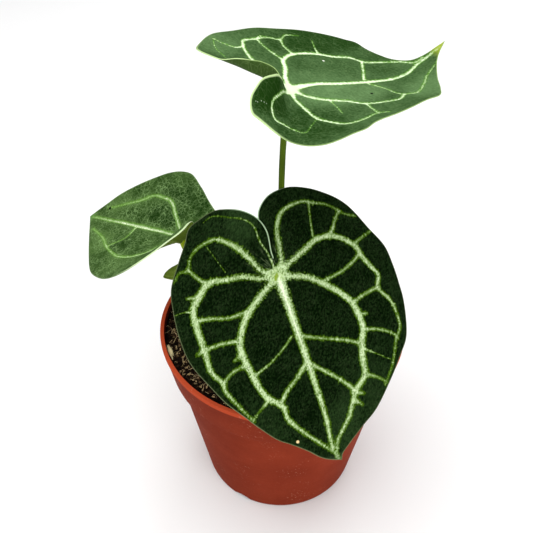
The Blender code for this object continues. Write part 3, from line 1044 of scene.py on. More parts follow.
@dataclass(frozen=True)
class Leaf:
    """One leaf: its blade's drawing, bend and veins, its petiole and its finishes."""

    name: str
    bend: Bend
    left_margin: Points
    right_margin: Points
    veins: tuple[Vein, ...]
    stalk: Stalk
    velvet: VelvetFinish
    underside: UndersideFinish
    rim: RimFinish
    skin: StalkFinish = StalkFinish("stalk_skin")
    grid: float = 0.64
    lamina: float = 0.50
    margin_thickness: float = 0.34
    groove: float = 0.22
    quilt: float = 0.34
    rib: float = 0.62

    def blade(self) -> Object:
        """Build the blade: a fine bent sheet with sunken veins above and ribs below.

        Returns:
            The blade as one closed mesh, with its three finishes.
        """
        flat, faces = self._flat_sheet()
        loop = self._outline(self.grid)
        margin = -depth_in(flat, np.vstack([loop, loop[:1]]), np.zeros(len(loop) + 1))[0]
        vein, run = self._vein_depth(flat)
        ease = smooth_step(margin, 0.0, 1.5)
        at_joint = smooth_step(np.hypot(flat[:, 0], flat[:, 1]), 0.5, 4.0)
        swell = 1 - np.exp(-np.clip(-vein, 0, None) / QUILT_SPAN)
        sunk = self.groove * smooth_step(vein, -0.9, 0.5)
        ripples = np.array([noise.noise(Vector((a * 0.11, b * 0.11, 3.7))) for a, b in flat])
        raised = self.quilt * swell * ease - sunk * ease * at_joint
        raised = raised + RIPPLE * ripples * ease - self.quilt * 0.4
        top = self.bend.place(flat, raised)
        normals = self._vertex_normals(top, faces)
        thick = self.margin_thickness + (self.lamina - self.margin_thickness) * smooth_step(margin, 0.0, 1.2)
        thick = thick + self.rib * ease * np.clip(vein + 0.7, 0, 1.6) ** 1.2
        under = top - normals * thick[:, None]

        edges = self._border(faces)
        ring = [start for start, _ in edges]
        middle = (top[ring] + under[ring]) / 2 + self._outward(edges, top, normals) * RIM_BULGE
        mesh = self._closed_mesh(np.vstack([top, under, middle]) * MM, faces, edges)
        for finish in (self.velvet, self.underside, self.rim):
            mesh.materials.append(finish.make())
        everywhere = np.vstack([flat, flat, flat[ring]])
        for label, numbers in (("vein", vein), ("run", run), ("margin", margin)):
            store_numbers(mesh, label, np.concatenate([numbers, numbers, numbers[ring]]))
        store_numbers(mesh, "turned", np.abs(np.degrees(np.arctan2(everywhere[:, 1], everywhere[:, 0]))))
        flat_data = np.column_stack([everywhere, np.zeros(len(everywhere))]).astype(np.float32)
        mesh.attributes.new("flat", "FLOAT_VECTOR", "POINT").data.foreach_set("vector", flat_data.ravel())
        return link_object(mesh.name, mesh)

    def petiole(self) -> Object:
        """Build the petiole as a tube along its route.

        Returns:
            The tube as a plain mesh.
        """
        route = self._route()
        curve = bpy.data.curves.new(f"route_{self.name}", "CURVE")
        curve.dimensions = "3D"
        spline = curve.splines.new("POLY")
        spline.points.add(len(route) - 1)
        walked = [0.0]
        for before, after in zip(route, route[1:]):
            walked.append(walked[-1] + (after - before).length)
        flare, sheath = KNEE_FLARE - 1, SHEATH_FLARE - 1
        for point, place, gone in zip(spline.points, route, walked):
            point.co = (*place, 1.0)
            near_end = max(0.0, 1 - (walked[-1] - gone) / KNEE_LENGTH)
            near_root = max(0.0, 1 - gone / SHEATH_LENGTH)
            knee = smooth_step(np.array(near_end), 0.0, 0.55)
            uneven = 0.03 * noise.noise(Vector((gone * 180, self.stalk.rise, 0.3)))
            point.radius = 1 + flare * knee + sheath * near_root**1.4 + uneven
        return stalk_tree().run(link_object(curve.name, curve), f"stalk_{self.name}", {
            "Radius": PETIOLE_RADIUS * self.stalk.stoutness,
            "Sides": PETIOLE_SIDES,
            "Length": walked[-1],
            "Knee": KNEE_LENGTH,
            "Finish": self.skin.make(),
        })

    def _outline(self, step: float) -> np.ndarray:
        """The blade's closed outline, flat, with points a step apart."""
        left, right = through(self.left_margin, step), through(self.right_margin, step)
        return np.vstack([right[:-1], left[::-1][:-1]])

    def _flat_sheet(self) -> tuple[np.ndarray, list]:
        """Fill the outline with an even grid.

        Returns:
            The blade's flat points and its triangles.
        """
        loop = self._outline(self.grid)
        low, high = loop.min(axis=0), loop.max(axis=0)
        rows = np.arange(low[1], high[1], self.grid * math.sqrt(0.75))
        columns = np.arange(low[0], high[0], self.grid)
        across, along = np.meshgrid(rows, columns, indexing="ij")
        along = along + (np.arange(len(rows)) % 2)[:, None] * self.grid / 2
        points = np.column_stack([along.ravel(), across.ravel()])
        points = points[inside(points, loop)]
        closed = np.vstack([loop, loop[:1]])
        points = points[depth_in(points, closed, np.zeros(len(closed)))[0] < -0.55 * self.grid]
        ring = list(range(len(loop)))
        given = [Vector(point) for point in np.vstack([loop, points])]
        verts, _, faces, *_ = delaunay_2d_cdt(given, [], [ring], 1, 1e-5)
        return np.array([tuple(vert) for vert in verts]), faces

    def _vein_depth(self, flat: np.ndarray) -> tuple[np.ndarray, np.ndarray]:
        """Where each point lies beside the net of veins.

        Args:
            flat: the points.

        Returns:
            How far each lies within a vein, rounded where veins meet, and its distance along the
            nearest one; each vein starts from a mark of its own.
        """
        softness = 0.36
        apart = 100.0
        total = np.zeros(len(flat))
        best = np.full(len(flat), -np.inf)
        nearest = np.zeros(len(flat))
        for index, vein in enumerate(self.veins):
            depth, run = vein.depth(flat)
            total += np.exp(np.clip(depth, -9, 4) / softness)
            nearest = np.where(depth > best, run + apart * index, nearest)
            best = np.maximum(best, depth)
        return softness * np.log(total), nearest

    def _closed_mesh(self, places: np.ndarray, faces: list, edges: list[tuple[int, int]]) -> Mesh:
        """Close the blade: the upper sheet, the under sheet and the rim, each with its own finish.

        Args:
            places: the points of the upper sheet, of the under sheet and of the rim's middle.
            faces: the sheet's triangles.
            edges: the sheet's border.

        Returns:
            The mesh, without its finishes.
        """
        order = {start: place for place, (start, _) in enumerate(edges)}
        count = (len(places) - len(edges)) // 2
        sheet = [tuple(face) for face in faces]
        polygons, kinds = list(sheet), [0] * len(sheet)
        polygons += [tuple(count + vertex for vertex in reversed(face)) for face in sheet]
        kinds += [1] * len(sheet)
        for start, end in edges:
            low, high = 2 * count + order[start], 2 * count + order[end]
            polygons += [(end, start, low, high), (high, low, count + start, count + end)]
            kinds += [2, 2]
        mesh = bpy.data.meshes.new(f"leaf_{self.name}")
        mesh.from_pydata(places.tolist(), [], polygons)
        mesh.polygons.foreach_set("material_index", kinds)
        mesh.shade_smooth()
        return mesh

    @staticmethod
    def _outward(edges: list[tuple[int, int]], top: np.ndarray, normals: np.ndarray) -> np.ndarray:
        """Which way the rim faces.

        Args:
            edges: the sheet's border.
            top: the sheet's points.
            normals: their unit normals.

        Returns:
            A unit vector for each border point, in the order of the edges.
        """
        order = {start: place for place, (start, _) in enumerate(edges)}
        outward = np.zeros((len(edges), 3))
        for start, end in edges:
            side = np.cross(top[end] - top[start], normals[start] + normals[end])
            side /= max(np.linalg.norm(side), 1e-9)
            outward[order[start]] += side
            outward[order[end]] += side
        return outward / np.maximum(np.linalg.norm(outward, axis=1), 1e-9)[:, None]

    @staticmethod
    def _vertex_normals(places: np.ndarray, faces: list) -> np.ndarray:
        """Unit normals of a triangle sheet's points.

        Args:
            places: the points.
            faces: the triangles.

        Returns:
            A normal for each point.
        """
        corners = np.array(faces)
        a, b, c = (places[corners[:, index]] for index in range(3))
        face_normals = np.cross(b - a, c - a)
        normals = np.zeros_like(places)
        for index in range(3):
            np.add.at(normals, corners[:, index], face_normals)
        return normals / np.maximum(np.linalg.norm(normals, axis=1), 1e-12)[:, None]

    @staticmethod
    def _border(faces: list) -> list[tuple[int, int]]:
        """The edges that only one triangle has, in that triangle's direction."""
        directed = {(face[i], face[(i + 1) % 3]) for face in faces for i in range(3)}
        return [edge for edge in directed if (edge[1], edge[0]) not in directed]

    def _route(self) -> list[Vector]:
        """Lead the petiole from its seat in the crown to just inside the blade.

        Returns:
            The points of its centre line, in metres.
        """
        up = Vector(self.bend.directions()[2])
        joint = Vector(self.bend.place((0, 0))[0]) * MM
        knee = PETIOLE_RADIUS * self.stalk.stoutness * KNEE_FLARE / MM
        turns = np.linspace(0, 2 * math.pi, 16, endpoint=False)
        around = self.bend.place(knee * np.column_stack([np.cos(turns), np.sin(turns)])) * MM
        sag = max((joint - Vector(place)).dot(up) for place in around)
        end = joint - up * (sag + UNDER_BLADE)
        neck = end - up * KNEE_STRAIGHT
        mouth = Vector((self.stalk.root[0] * MM, self.stalk.root[1] * MM, CROWN_TOP + 0.001))
        way = (Vector((0, 0, 1)) + (neck - mouth).normalized()).normalized()
        first = mouth + way * self.stalk.rise * MM
        last = neck - up * self.stalk.reach * MM + Vector((*self.stalk.sway, 0)) * MM
        route = [mouth - way * SOCKET_DEPTH]
        for t in np.linspace(0, 1, ROUTE_POINTS):
            route.append(mouth * (1 - t) ** 3 + first * 3 * t * (1 - t) ** 2
                         + last * 3 * t**2 * (1 - t) + neck * t**3)
        return [*route, end, end + up * INTO_BLADE]


def stalk_tree() -> Relief:
    """The Geometry Nodes tree of a petiole: a round tube whose points know their way along it.

    Returns:
        The tree, with the inputs Radius, Sides, Length, Knee and Finish.
    """
    tree = Relief("stalk", {
        "Radius": "Float", "Sides": "Int", "Length": "Float", "Knee": "Float", "Finish": "Material",
    })
    gone = tree.value("GeometryNodeSplineParameter", None, None, "Length")
    left = (Value(tree, tree.given("Length")) - gone) / Value(tree, tree.given("Knee"))
    marked = tree.marked(tree.given("Geometry"), "along", gone)
    marked = tree.marked(marked, "knee", left.rise(1.05, 0.8))
    radius = tree.node("GeometryNodeInputRadius")
    ring = tree.node("GeometryNodeCurvePrimitiveCircle", None,
                     {"Resolution": tree.given("Sides"), "Radius": tree.given("Radius")})
    tube = tree.node("GeometryNodeCurveToMesh", None,
                     {"Curve": marked, "Profile Curve": ring.outputs[0],
                      "Scale": radius.outputs[0], "Fill Caps": True})
    smooth = tree.node("GeometryNodeSetShadeSmooth", None, {"Geometry": tube.outputs[0]})
    tree.close(smooth.outputs[0])
    return tree


# Sizes in metres; those of the pot, the mix and the crown follow the solids

GAP = 0.0003
LIP_RADIUS, _, POT_HEIGHT = (round(float(size), 5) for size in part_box("pot")[1])
FLOOR = round(float(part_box("soil")[0][2]) - GAP, 5)
CROWN_FOOT = round(float(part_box("crown")[0][2]), 5)
CROWN_RADIUS, _, CROWN_TOP = (round(float(size), 5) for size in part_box("crown")[1])
CROWN_DOME = 0.005

LIP_HEIGHT = 0.003
LIP_WIDTH = 0.0019
LIP_ROUND = 0.0008
LIP_LINE = 0.00035
COLLAR_TOP_RADIUS = 0.0593
COLLAR_FOOT_RADIUS = 0.0564
COLLAR_FOOT = 0.0805
STEP_FALL = 0.001
WALL_TOP_RADIUS = 0.0537
BASE_RADIUS = 0.0415
FOOT_ROUND = 0.001
WALL = 0.0013
WALL_ROUND = 0.0012
FLOOR_ROUND = 0.0015
FOOT_RING = 0.0035
FOOT_RECESS = 0.0004
SLOT_ANGLES = (240, 0, 120)
SLOT_RADIUS = 0.0065
SLOT_HEIGHT = 0.003
SLOT_DEPTH = 0.012

SOIL_LEVEL = 0.0995
SOIL_EDGE = SOIL_LEVEL - 0.001
SOIL_MOUND = 0.002
SOIL_DIP = 0.0006
SOIL_LUMPS = ((150, 4.0, 0.0011), (520, 8.0, 0.0006))
SOIL_RIM = 0.0004
LITTER_RIM = 0.0012
SOCKET_DEPTH = 0.005

PETIOLE_RADIUS = 0.00135
SHEATH_FLARE = 1.35
SHEATH_LENGTH = 0.022
KNEE_FLARE = 1.30
KNEE_LENGTH = 0.014
KNEE_STRAIGHT = 0.002
PETIOLE_SIDES = 18
ROUTE_POINTS = 84
UNDER_BLADE = 0.00118
INTO_BLADE = 0.0008

FRONT = Leaf(
    name="front",
    bend=Bend(
        joint=(-2.9, -30.0, 158.8), heading=-66, pitch=-35, roll=6, length=78, width=47,
        arch=-14, arch_back=-25, curl=50, curl_from=0.75, wave=1.2, wave_length=40,
        left=Half(fold=5, cup=-22, lobe_lift=-2, lobe_from=130),
        right=Half(fold=5, cup=-22, lobe_lift=6, lobe_from=130, lobe_turn=6),
    ),
    left_margin=(
        (78, 1), (76, 2), (73, 6), (68, 14), (64, 21), (55, 31), (47, 39), (41, 45), (33, 49), (25, 51),
        (17, 51), (9, 51), (0, 51), (-10, 47), (-20, 42), (-25, 38), (-30, 32), (-34, 26), (-37, 18),
        (-36, 9), (-31, 3), (-26, 1), (-18, 0.4), (-10, 0.4), (-7, 0),
    ),
    right_margin=(
        (78, 1), (76, -4), (74, -7), (70, -11), (65, -17), (62, -21), (56, -26), (49, -31), (42, -36),
        (34, -40), (22, -45), (11, -46), (0, -45), (-9, -43), (-18, -37), (-25, -32), (-30, -29),
        (-32, -24), (-33, -18), (-32, -14), (-29, -8), (-24, -3), (-18, -0.6), (-10, -0.4), (-7, 0),
    ),
    veins=(
        Vein(((0, 0), (20, 0), (40, 0), (60, 0), (72, -1), (77, 0)), (1.9, 1.3, 1.05, 0.8, 0.5, 0.4)),
        Vein(((0, 0), (2, 6), (4, 11), (9, 17), (14, 22), (20, 26), (25, 27), (31, 27), (37, 24), (44, 22),
              (49, 21), (54, 15), (57, 13), (63, 9), (66, 6), (70, 2), (74, 0)),
             (0.75, 0.8, 1.0, 0.95, 0.5, 0.15)),
        Vein(((0, 0), (-2, 3), (-4, 7), (-7, 14), (-10, 21), (-10, 27), (-7, 33), (-2, 37), (3, 38), (8, 40),
              (12, 42), (16, 40), (18, 40), (24, 44), (30, 45), (36, 44), (40, 40), (48, 35), (56, 28)),
             (0.4, 0.8, 0.75, 0.35, 0.0, -0.3)),
        Vein(((0, 0), (-4, 3), (-12, 5), (-20, 7), (-26, 11), (-28, 16), (-28, 22), (-26, 26), (-24, 31),
              (-20, 36), (-18, 38), (-16, 43)), (0.3, 0.5, 0.4, 0.0, -0.3)),
        Vein(((0, 0), (4, -7), (8, -13), (12, -18), (16, -21), (22, -24), (28, -24), (34, -23), (40, -22),
              (45, -20), (48, -17), (51, -15), (55, -15), (63, -10), (68, -6), (73, -2)),
             (0.75, 0.9, 0.95, 0.85, 0.45, 0.05)),
        Vein(((0, 0), (-1, -7), (-4, -14), (-5, -21), (-6, -28), (-2, -33), (2, -37), (8, -38), (16, -38),
              (22, -38), (28, -38), (34, -35), (37, -35), (42, -33), (46, -31), (52, -28)),
             (0.35, 0.6, 1.0, 0.85, 0.4, -0.1)),
        Vein(((0, 0), (-4, -6), (-10, -9), (-16, -13), (-20, -17), (-22, -20), (-22, -24), (-21, -28),
              (-18, -32), (-14, -34), (-14, -38), (-11, -41)),
             (0.25, 0.4, 0.6, 0.6, 0.35, 0.05, -0.05, -0.1, -0.3)),
        Vein(((-2, 0), (-6, -1), (-10, -2), (-15, -4), (-21, -5), (-25, -8), (-28, -13), (-31, -19),
              (-30, -23)), (0.15, 0.1, 0.0), crisp=3.2),
        Vein(((26, 1), (28, 5), (31, 12), (34, 19), (37, 24)), (0.15, 0.1, 0.3)),
        Vein(((38, 1), (41, 4), (46, 9), (51, 13), (54, 15)), (0.4, 0.25, 0.35)),
        Vein(((8, 16), (7, 22), (6, 27), (3, 34), (1, 37)), (0.15, 0.1, 0.25)),
        Vein(((20, 26), (18, 33), (17, 40)), (0.3, 0.15, 0.3)),
        Vein(((32, 28), (34, 34), (38, 40), (40, 41)), (0.2, 0.05, 0.0)),
        Vein(((49, 21), (52, 26), (55, 29)), (0.3, 0.0, -0.2)),
        Vein(((-4, 37), (-6, 42), (-8, 48)), (0.15, 0.0, -0.2)),
        Vein(((-10, 27), (-13, 30), (-17, 33), (-20, 36)), (0.45, 0.2, 0.05)),
        Vein(((-12, 20), (-20, 22), (-27, 24)), (0.15, 0.05, 0.15), crisp=1.8),
        Vein(((25, -3), (28, -7), (32, -14), (35, -22)), (0.1, 0.0, 0.25), crisp=1.6),
        Vein(((37, -1), (41, -6), (45, -12), (49, -16)), (0.4, 0.25, 0.4)),
        Vein(((10, -16), (10, -25), (8, -32), (7, -38)), (0.25, 0.15, 0.3)),
        Vein(((20, -24), (19, -31), (19, -38)), (0.3, 0.2, 0.35)),
        Vein(((30, -24), (31, -30), (34, -35)), (0.3, 0.05, 0.15)),
        Vein(((46, -20), (49, -25), (51, -28)), (0.3, 0.05, 0.0), crisp=1.5),
        Vein(((-5, -28), (-9, -31), (-14, -34)), (0.4, 0.2, 0.15)),
        Vein(((-20, -24), (-14, -22), (-8, -20)), (0.05, -0.05, 0.05), crisp=3.0),
        Vein(((-2, -34), (-3, -38)), (0.5, -0.1)),
        Vein(((3, -38), (2, -41), (2, -45)), (0.3, 0.05, 0.0), crisp=3.0),
        Vein(((19, -38), (20, -41)), (0.5, -0.1)),
        Vein(((25, 27), (26, 31)), (0.4, -0.1)),
        Vein(((39, 24), (43, 29), (47, 34)), (0.4, 0.05, 0.0), crisp=3.0),
        Vein(((54, 14), (56, 18)), (0.5, 0.0)),
        Vein(((57, 13), (60, 16)), (0.5, 0.0)),
        Vein(((25, -24), (27, -28)), (0.5, -0.1)),
    ),
    stalk=Stalk(root=(1.2, -4.6), rise=34.0, reach=22.0),
    velvet=VelvetFinish(
        name="velvet_upper_front", deep=srgb(2, 13, 1), light=srgb(40, 62, 30), halo=srgb(64, 96, 4),
        vein=srgb(168, 194, 136), core=srgb(232, 244, 212), edge=srgb(110, 122, 84),
        tip=srgb(74, 92, 62), notch=srgb(190, 222, 180), joint=srgb(146, 176, 66), base=0.1,
        grain=0.32, cloud=0.1, speckle=0.75, core_from=0.65, margin_sheen=0.08, net=0.02,
        specular=0.005, sheen=0.0, notch_from=150.0, rays=1.8, joint_center=0.3, joint_reach=6.8,
        joint_web=1.7, joint_feather=0.9, joint_spot=0.9, tip_from=74.0,
        sheen_and_shade=(Shade(66, 6, 16, 10, 0.3), Shade(54, 22, 20, 16, 0.2), Shade(56, -24, 16, 9, 0.16),
                Shade(-25, -9, 14, 7, 0.35), Shade(-22, -18, 12, 10, 0.15)),
        specks=(Speck(65, -14, 0.6, Tone.TAN),),
    ),
    underside=UndersideFinish("velvet_under_front", srgb(92, 118, 72), srgb(165, 185, 130)),
    rim=RimFinish("rim_front", srgb(138, 150, 104), srgb(216, 246, 212), notch_from=150.0),
)

TOP = Leaf(
    name="top",
    bend=Bend(
        joint=(1.5, 2.4, 225.6), heading=30, pitch=-11, length=76, width=44, arch=5, curl=400,
        lobe_near=14,
        left=Half(fold=6, cup=8, lobe_lift=17, lobe_from=125),
        right=Half(fold=-20, opening=22, cup=40, lobe_lift=20, lobe_from=115, lobe_turn=-22),
    ),
    left_margin=(
        (80, -1), (76, 2), (70, 5), (66, 7), (60, 13), (57, 18), (54, 24), (52, 30), (48, 33), (42, 37),
        (30, 42), (18, 44), (8, 45), (-4, 43), (-14, 41), (-21, 36), (-26, 30), (-25, 25), (-22, 21),
        (-19, 12), (-10, 5), (-6, 0),
    ),
    right_margin=(
        (80, -1), (76, -1), (72, -3), (66, -10), (60, -19), (54, -25), (48, -25), (38, -28), (30, -30),
        (18, -32), (10, -36), (4, -37), (-4, -39), (-10, -39), (-15, -36), (-18, -32), (-24, -24),
        (-29, -19), (-32, -16), (-32, -13), (-30, -9), (-26, -6), (-22, -4), (-11, -3), (-6, 0),
    ),
    veins=(
        Vein(((-1, 0), (11, 2), (26, 1), (44, 0), (59, 1), (66, 3), (73, 2), (79, -1)),
             (1.8, 1.05, 0.9, 0.8, 0.7, 0.6, 0.5)),
        Vein(((0, 0), (2, 7), (7, 16), (9, 21), (16, 25), (27, 24), (34, 21), (42, 19), (46, 15), (54, 13),
              (61, 10), (66, 5), (70, 4)), (1.05, 0.7, 0.3)),
        Vein(((-1, 0), (-3, 10), (-5, 22), (-5, 27), (-4, 32), (-2, 36), (5, 37), (10, 38), (16, 36),
              (20, 39), (26, 38)), (0.7, 0.6, 0.1)),
        Vein(((0, 0), (4, -4), (9, -7), (14, -9), (20, -11), (26, -15), (34, -17), (41, -17), (46, -14),
              (51, -15), (59, -10), (64, -6), (69, -4), (74, -3)), (0.75, 0.5, 0.15)),
        Vein(((0, 0), (-1, -6), (0, -12), (1, -19), (4, -23), (8, -27), (16, -27), (24, -25), (28, -27)),
             (0.7, 0.6, 0.1)),
        Vein(((-1, -1), (-12, -8), (-18, -11), (-20, -14), (-20, -18), (-16, -20), (-12, -24), (-10, -27),
              (-4, -23), (1, -19)), (0.6, 0.35, 0.3, 0.3, 0.45, 0.4, 0.25, 0.05, 0.0, 0.0), crisp=1.5),
        Vein(((37, 2), (41, 8), (45, 15)), (0.5, 0.45, 0.5)),
        Vein(((37, -1), (42, -6), (44, -12), (46, -14)), (0.35, 0.25, 0.35)),
        Vein(((26, -15), (25, -20), (24, -25)), (0.4, 0.25, 0.35)),
        Vein(((13, -9), (13, -14), (12, -19)), (0.35, 0.15, 0.1), crisp=1.6),
        Vein(((16, 25), (15, 31), (16, 36)), (0.55, 0.3, 0.35)),
        Vein(((9, 21), (6, 29), (5, 37), (8, 39)), (0.45, 0.25, 0.3)),
        Vein(((28, 24), (29, 28), (31, 34)), (0.4, 0.2, 0.1), crisp=1.6),
        Vein(((-4, 32), (-8, 31), (-12, 34), (-15, 38)), (0.4, 0.25, 0.15), crisp=1.6),
        Vein(((-15, 38), (-17, 31), (-16, 24)), (0.1, 0.15, 0.1), crisp=2.0),
    ),
    stalk=Stalk(root=(-1.4, 4.8), rise=60.0, reach=30.0, sway=(2.0, 14.0)),
    # this palette is lighter than the front leaf's: partly the leaf's own colour, partly painted sheen that
    # an upturned velvet leaf catches
    velvet=VelvetFinish(
        name="velvet_upper_top", deep=srgb(24, 54, 10), light=srgb(102, 136, 86), halo=srgb(80, 130, 36),
        vein=srgb(172, 206, 138), core=srgb(236, 250, 218), edge=srgb(150, 176, 112),
        tip=srgb(180, 196, 60), notch=srgb(204, 230, 166), silk_sheen=srgb(116, 150, 92), base=0.28,
        grain=0.16, cloud=0.1, glow=0.08, feather=0.15, teeth=0.12, halo_from=-0.8, vein_from=-0.35,
        core_from=-0.05, net=0.1, streaks=0.35, specular=0.004, sheen=0.0, tip_from=72.0,
        joint_patch=0.3, joint_center=0.6, joint_reach=6.0, joint_web=1.6, joint_glow=1.0,
        notch_width=0.9,
        sheen_and_shade=(Shade(32, 33, 34, 14, -0.28), Shade(-16, 35, 15, 12, 0.24), Shade(14, 4, 24, 10, 0.2),
                Shade(22, -7, 28, 9, 0.36), Shade(-6, -24, 22, 16, -0.18), Shade(-21, -8, 14, 11, -0.45),
                Shade(60, -15, 17, 14, 0.36), Shade(50, 14, 14, 12, -0.1)),
        specks=(Speck(27, 18, 0.5, Tone.WHITE), Speck(33, -9, 0.6, Tone.DARK),
                *(Speck(along, across, 0.2, Tone.PALE) for along, across in
                  ((-28.4, -11.4), (-27.6, -11.8), (-25.4, -11.6), (-24, -12.1), (-22.8, -12.6)))),
    ),
    underside=UndersideFinish("velvet_under_top", srgb(70, 98, 44), srgb(112, 138, 80)),
    rim=RimFinish("rim_top", srgb(150, 178, 110), srgb(206, 234, 164)),
)

LEFT = Leaf(
    name="left",
    bend=Bend(
        joint=(-46.8, 10.6, 146.9), heading=145, pitch=-11.7, length=65, width=39, arch=-4, arch_back=10,
        left=Half(fold=5, opening=-28, cup=-4, lobe_lift=18, lobe_from=58),
        right=Half(fold=30, opening=16),
    ),
    left_margin=(
        (66, 0), (57, 11), (45, 23), (32, 33), (21, 37), (11, 39), (3, 39), (-5, 37), (-13, 32),
        (-18, 25), (-22, 19), (-21, 12), (-17, 6), (-11, 2), (-6, 0),
    ),
    right_margin=(
        (66, 0), (56, -8), (49, -14), (39, -21), (31, -26), (24, -30), (18, -32), (12, -32), (4, -27),
        (-4, -21), (-10, -17), (-15, -14), (-20, -11), (-23, -7), (-22, -3), (-14, -1), (-6, 0),
    ),
    veins=(
        Vein(((0, 0), (15, 0), (33, 0), (50, 0), (64, 0)), (0.55, 0.65, 0.75, 0.6, 0.35, 0.2)),
        Vein(((0, 0), (3, -3), (10, -10), (16, -16), (22, -17), (27, -17), (34, -13), (45, -9), (54, -6)),
             (0.45, 0.45, 0.45, 0.3, 0.15, 0.05, -0.1)),
        Vein(((0, 0), (3, 4), (6, 16), (13, 21), (22, 22), (29, 20), (36, 17), (46, 11), (57, 7)),
             (0.4, 0.4, 0.4, 0.3, 0.15, 0.25, 0.1, 0.0)),
        Vein(((30, 1), (30, 9), (36, 16)), (0.4, 0.0, 0.1), crisp=1.4),
        Vein(((0, 0), (-8, 12), (-12, 24)), (0.5, 0.3, 0.0)),
        Vein(((0, 0), (-8, -6), (-16, -9)), (0.5, 0.3, 0.0)),
    ),
    stalk=Stalk(root=(-5.8, 0.6), rise=34.0, reach=14.0),
    # this palette is lighter than the front leaf's: partly the leaf's own colour, partly painted sheen that
    # the leaf catches at a grazing angle
    velvet=VelvetFinish(
        name="velvet_upper_left", deep=srgb(18, 46, 4), light=srgb(94, 126, 66), halo=srgb(94, 136, 54),
        vein=srgb(150, 186, 114), core=srgb(240, 252, 216), edge=srgb(132, 156, 108),
        tip=srgb(100, 138, 74), notch=srgb(206, 232, 174), silk_sheen=srgb(146, 182, 116), base=0.24,
        grain=0.16, cloud=0.14, glow=0.22, speckle=0.4, feather=0.4, teeth=0.25, halo_from=-1.1,
        vein_from=-0.5, core_from=0.05, net=0.15, threads=0.42, streaks=0.45, specular=0.004, sheen=0.0,
        tip_from=60.0, fold_edge=0.9,
        sheen_and_shade=(Shade(2, -20, 16, 12, -0.16), Shade(15, -8, 14, 7, -0.4), Shade(30, -22, 16, 7, -0.08),
                Shade(36, -5, 12, 6, -0.14), Shade(30, 15, 12, 8, -0.24), Shade(18, -19, 8, 6, -0.2),
                Shade(47, -10, 12, 8, 0.22), Shade(14, 29, 20, 10, 0.15), Shade(44, 15, 13, 10, 0.28)),
        specks=(Speck(53, -6, 0.8, Tone.DARK),),
    ),
    underside=UndersideFinish("velvet_under_left", srgb(118, 143, 49), srgb(150, 168, 92)),
    rim=RimFinish("rim_left", srgb(112, 138, 88), srgb(216, 232, 190), notch_from=85.0),
    # the knee's bright lime is partly its own colour, partly painted light that lifts it out of the shade it
    # sits in
    skin=StalkFinish("stalk_skin_left", knee=srgb(204, 228, 40)),
)

YOUNG = Leaf(
    name="young",
    bend=Bend(
        joint=(-29.5, -13.0, 141.0), heading=178, pitch=5, roll=-22, length=26, width=12, arch=-4,
        left=Half(fold=50, cup=6), right=Half(fold=16, cup=6),
    ),
    left_margin=((24, 0), (23, 2), (20, 4), (15, 6), (9, 8), (2, 9), (-4, 8), (-8, 5), (-7, 2), (-3, 0)),
    right_margin=(
        (24, 0), (23, -2), (21, -4), (18, -6), (15, -8), (9, -11), (2, -12), (-4, -11), (-8, -7),
        (-7, -2), (-3, 0),
    ),
    veins=(
        Vein(((0, 0), (12, 0), (23, 0)), (0.5, 0.4, 0.1)),
        Vein(((0, 0), (3, 4), (8, 6), (14, 5), (20, 2)), (0.3, 0.15, 0.0)),
        Vein(((0, 0), (3, -5), (8, -7), (14, -5), (20, -2)), (0.3, 0.15, 0.0)),
    ),
    stalk=Stalk(root=(-4.2, -5.0), rise=24.0, reach=12.0, stoutness=0.75),
    # partly the young leaf's own pale yellow-green, partly painted light: its colours are lifted to make up
    # for the front leaf's shadow on it
    velvet=VelvetFinish(
        name="velvet_upper_young", deep=srgb(112, 132, 42), light=srgb(158, 182, 84),
        halo=srgb(142, 164, 66), vein=srgb(160, 180, 92), core=srgb(170, 188, 110),
        edge=srgb(112, 126, 52), tip=srgb(124, 146, 56),
        grain=0.2, feather=0.2, teeth=0.1, streaks=0.2, specular=0.05, tip_from=21.0,
    ),
    underside=UndersideFinish("velvet_under_young", srgb(144, 158, 74), srgb(170, 182, 108)),
    rim=RimFinish("rim_young", srgb(126, 136, 70), srgb(150, 160, 96)),
    groove=0.12, quilt=0.15, rib=0.35,
)

LEAVES = (FRONT, TOP, LEFT, YOUNG)


# Pot and potting mix


def turned_shell(name: str, profile: Profile, steps: int) -> Object:
    """A closed solid turned about +Z.

    Args:
        name: the object's name.
        profile: (radius, height) points; a radius of 0 makes one point on the axis.
        steps: points round the axis.

    Returns:
        The solid.
    """
    bm = bmesh.new()
    rings = []
    for radius, height in profile:
        if radius == 0:
            rings.append([bm.verts.new((0, 0, height))] * steps)
            continue
        turns = [2 * math.pi * step / steps for step in range(steps)]
        rings.append([bm.verts.new((radius * math.cos(t), radius * math.sin(t), height)) for t in turns])
    for low, high in zip(rings, rings[1:]):
        for step in range(steps):
            after = (step + 1) % steps
            corners = []
            for vert in (low[step], low[after], high[after], high[step]):
                if vert not in corners:
                    corners.append(vert)
            if len(corners) > 2:
                bm.faces.new(corners)
    bmesh.ops.recalc_face_normals(bm, faces=bm.faces[:])
    for face in bm.faces:
        face.smooth = True
    return link_object(name, mesh_from(bm, name))


def rounded(corners: list[Triple], pieces: int = 5) -> Profile:
    """A profile with rounded corners.

    Args:
        corners: (radius, height, rounding) of each corner, in turn.
        pieces: straight pieces in a rounding.

    Returns:
        The profile's points.
    """
    profile = []
    for index, (radius, height, rounding) in enumerate(corners):
        here = Vector((radius, height))
        if rounding == 0 or index in (0, len(corners) - 1):
            profile.append((radius, height))
            continue
        before = Vector(corners[index - 1][:2]) - here
        after = Vector(corners[index + 1][:2]) - here
        reach = min(rounding, 0.45 * before.length, 0.45 * after.length)
        start, end = here + before.normalized() * reach, here + after.normalized() * reach
        for piece in range(pieces + 1):
            t = piece / pieces
            point = start * (1 - t) ** 2 + here * 2 * t * (1 - t) + end * t**2
            profile.append((point.x, point.y))
    return profile


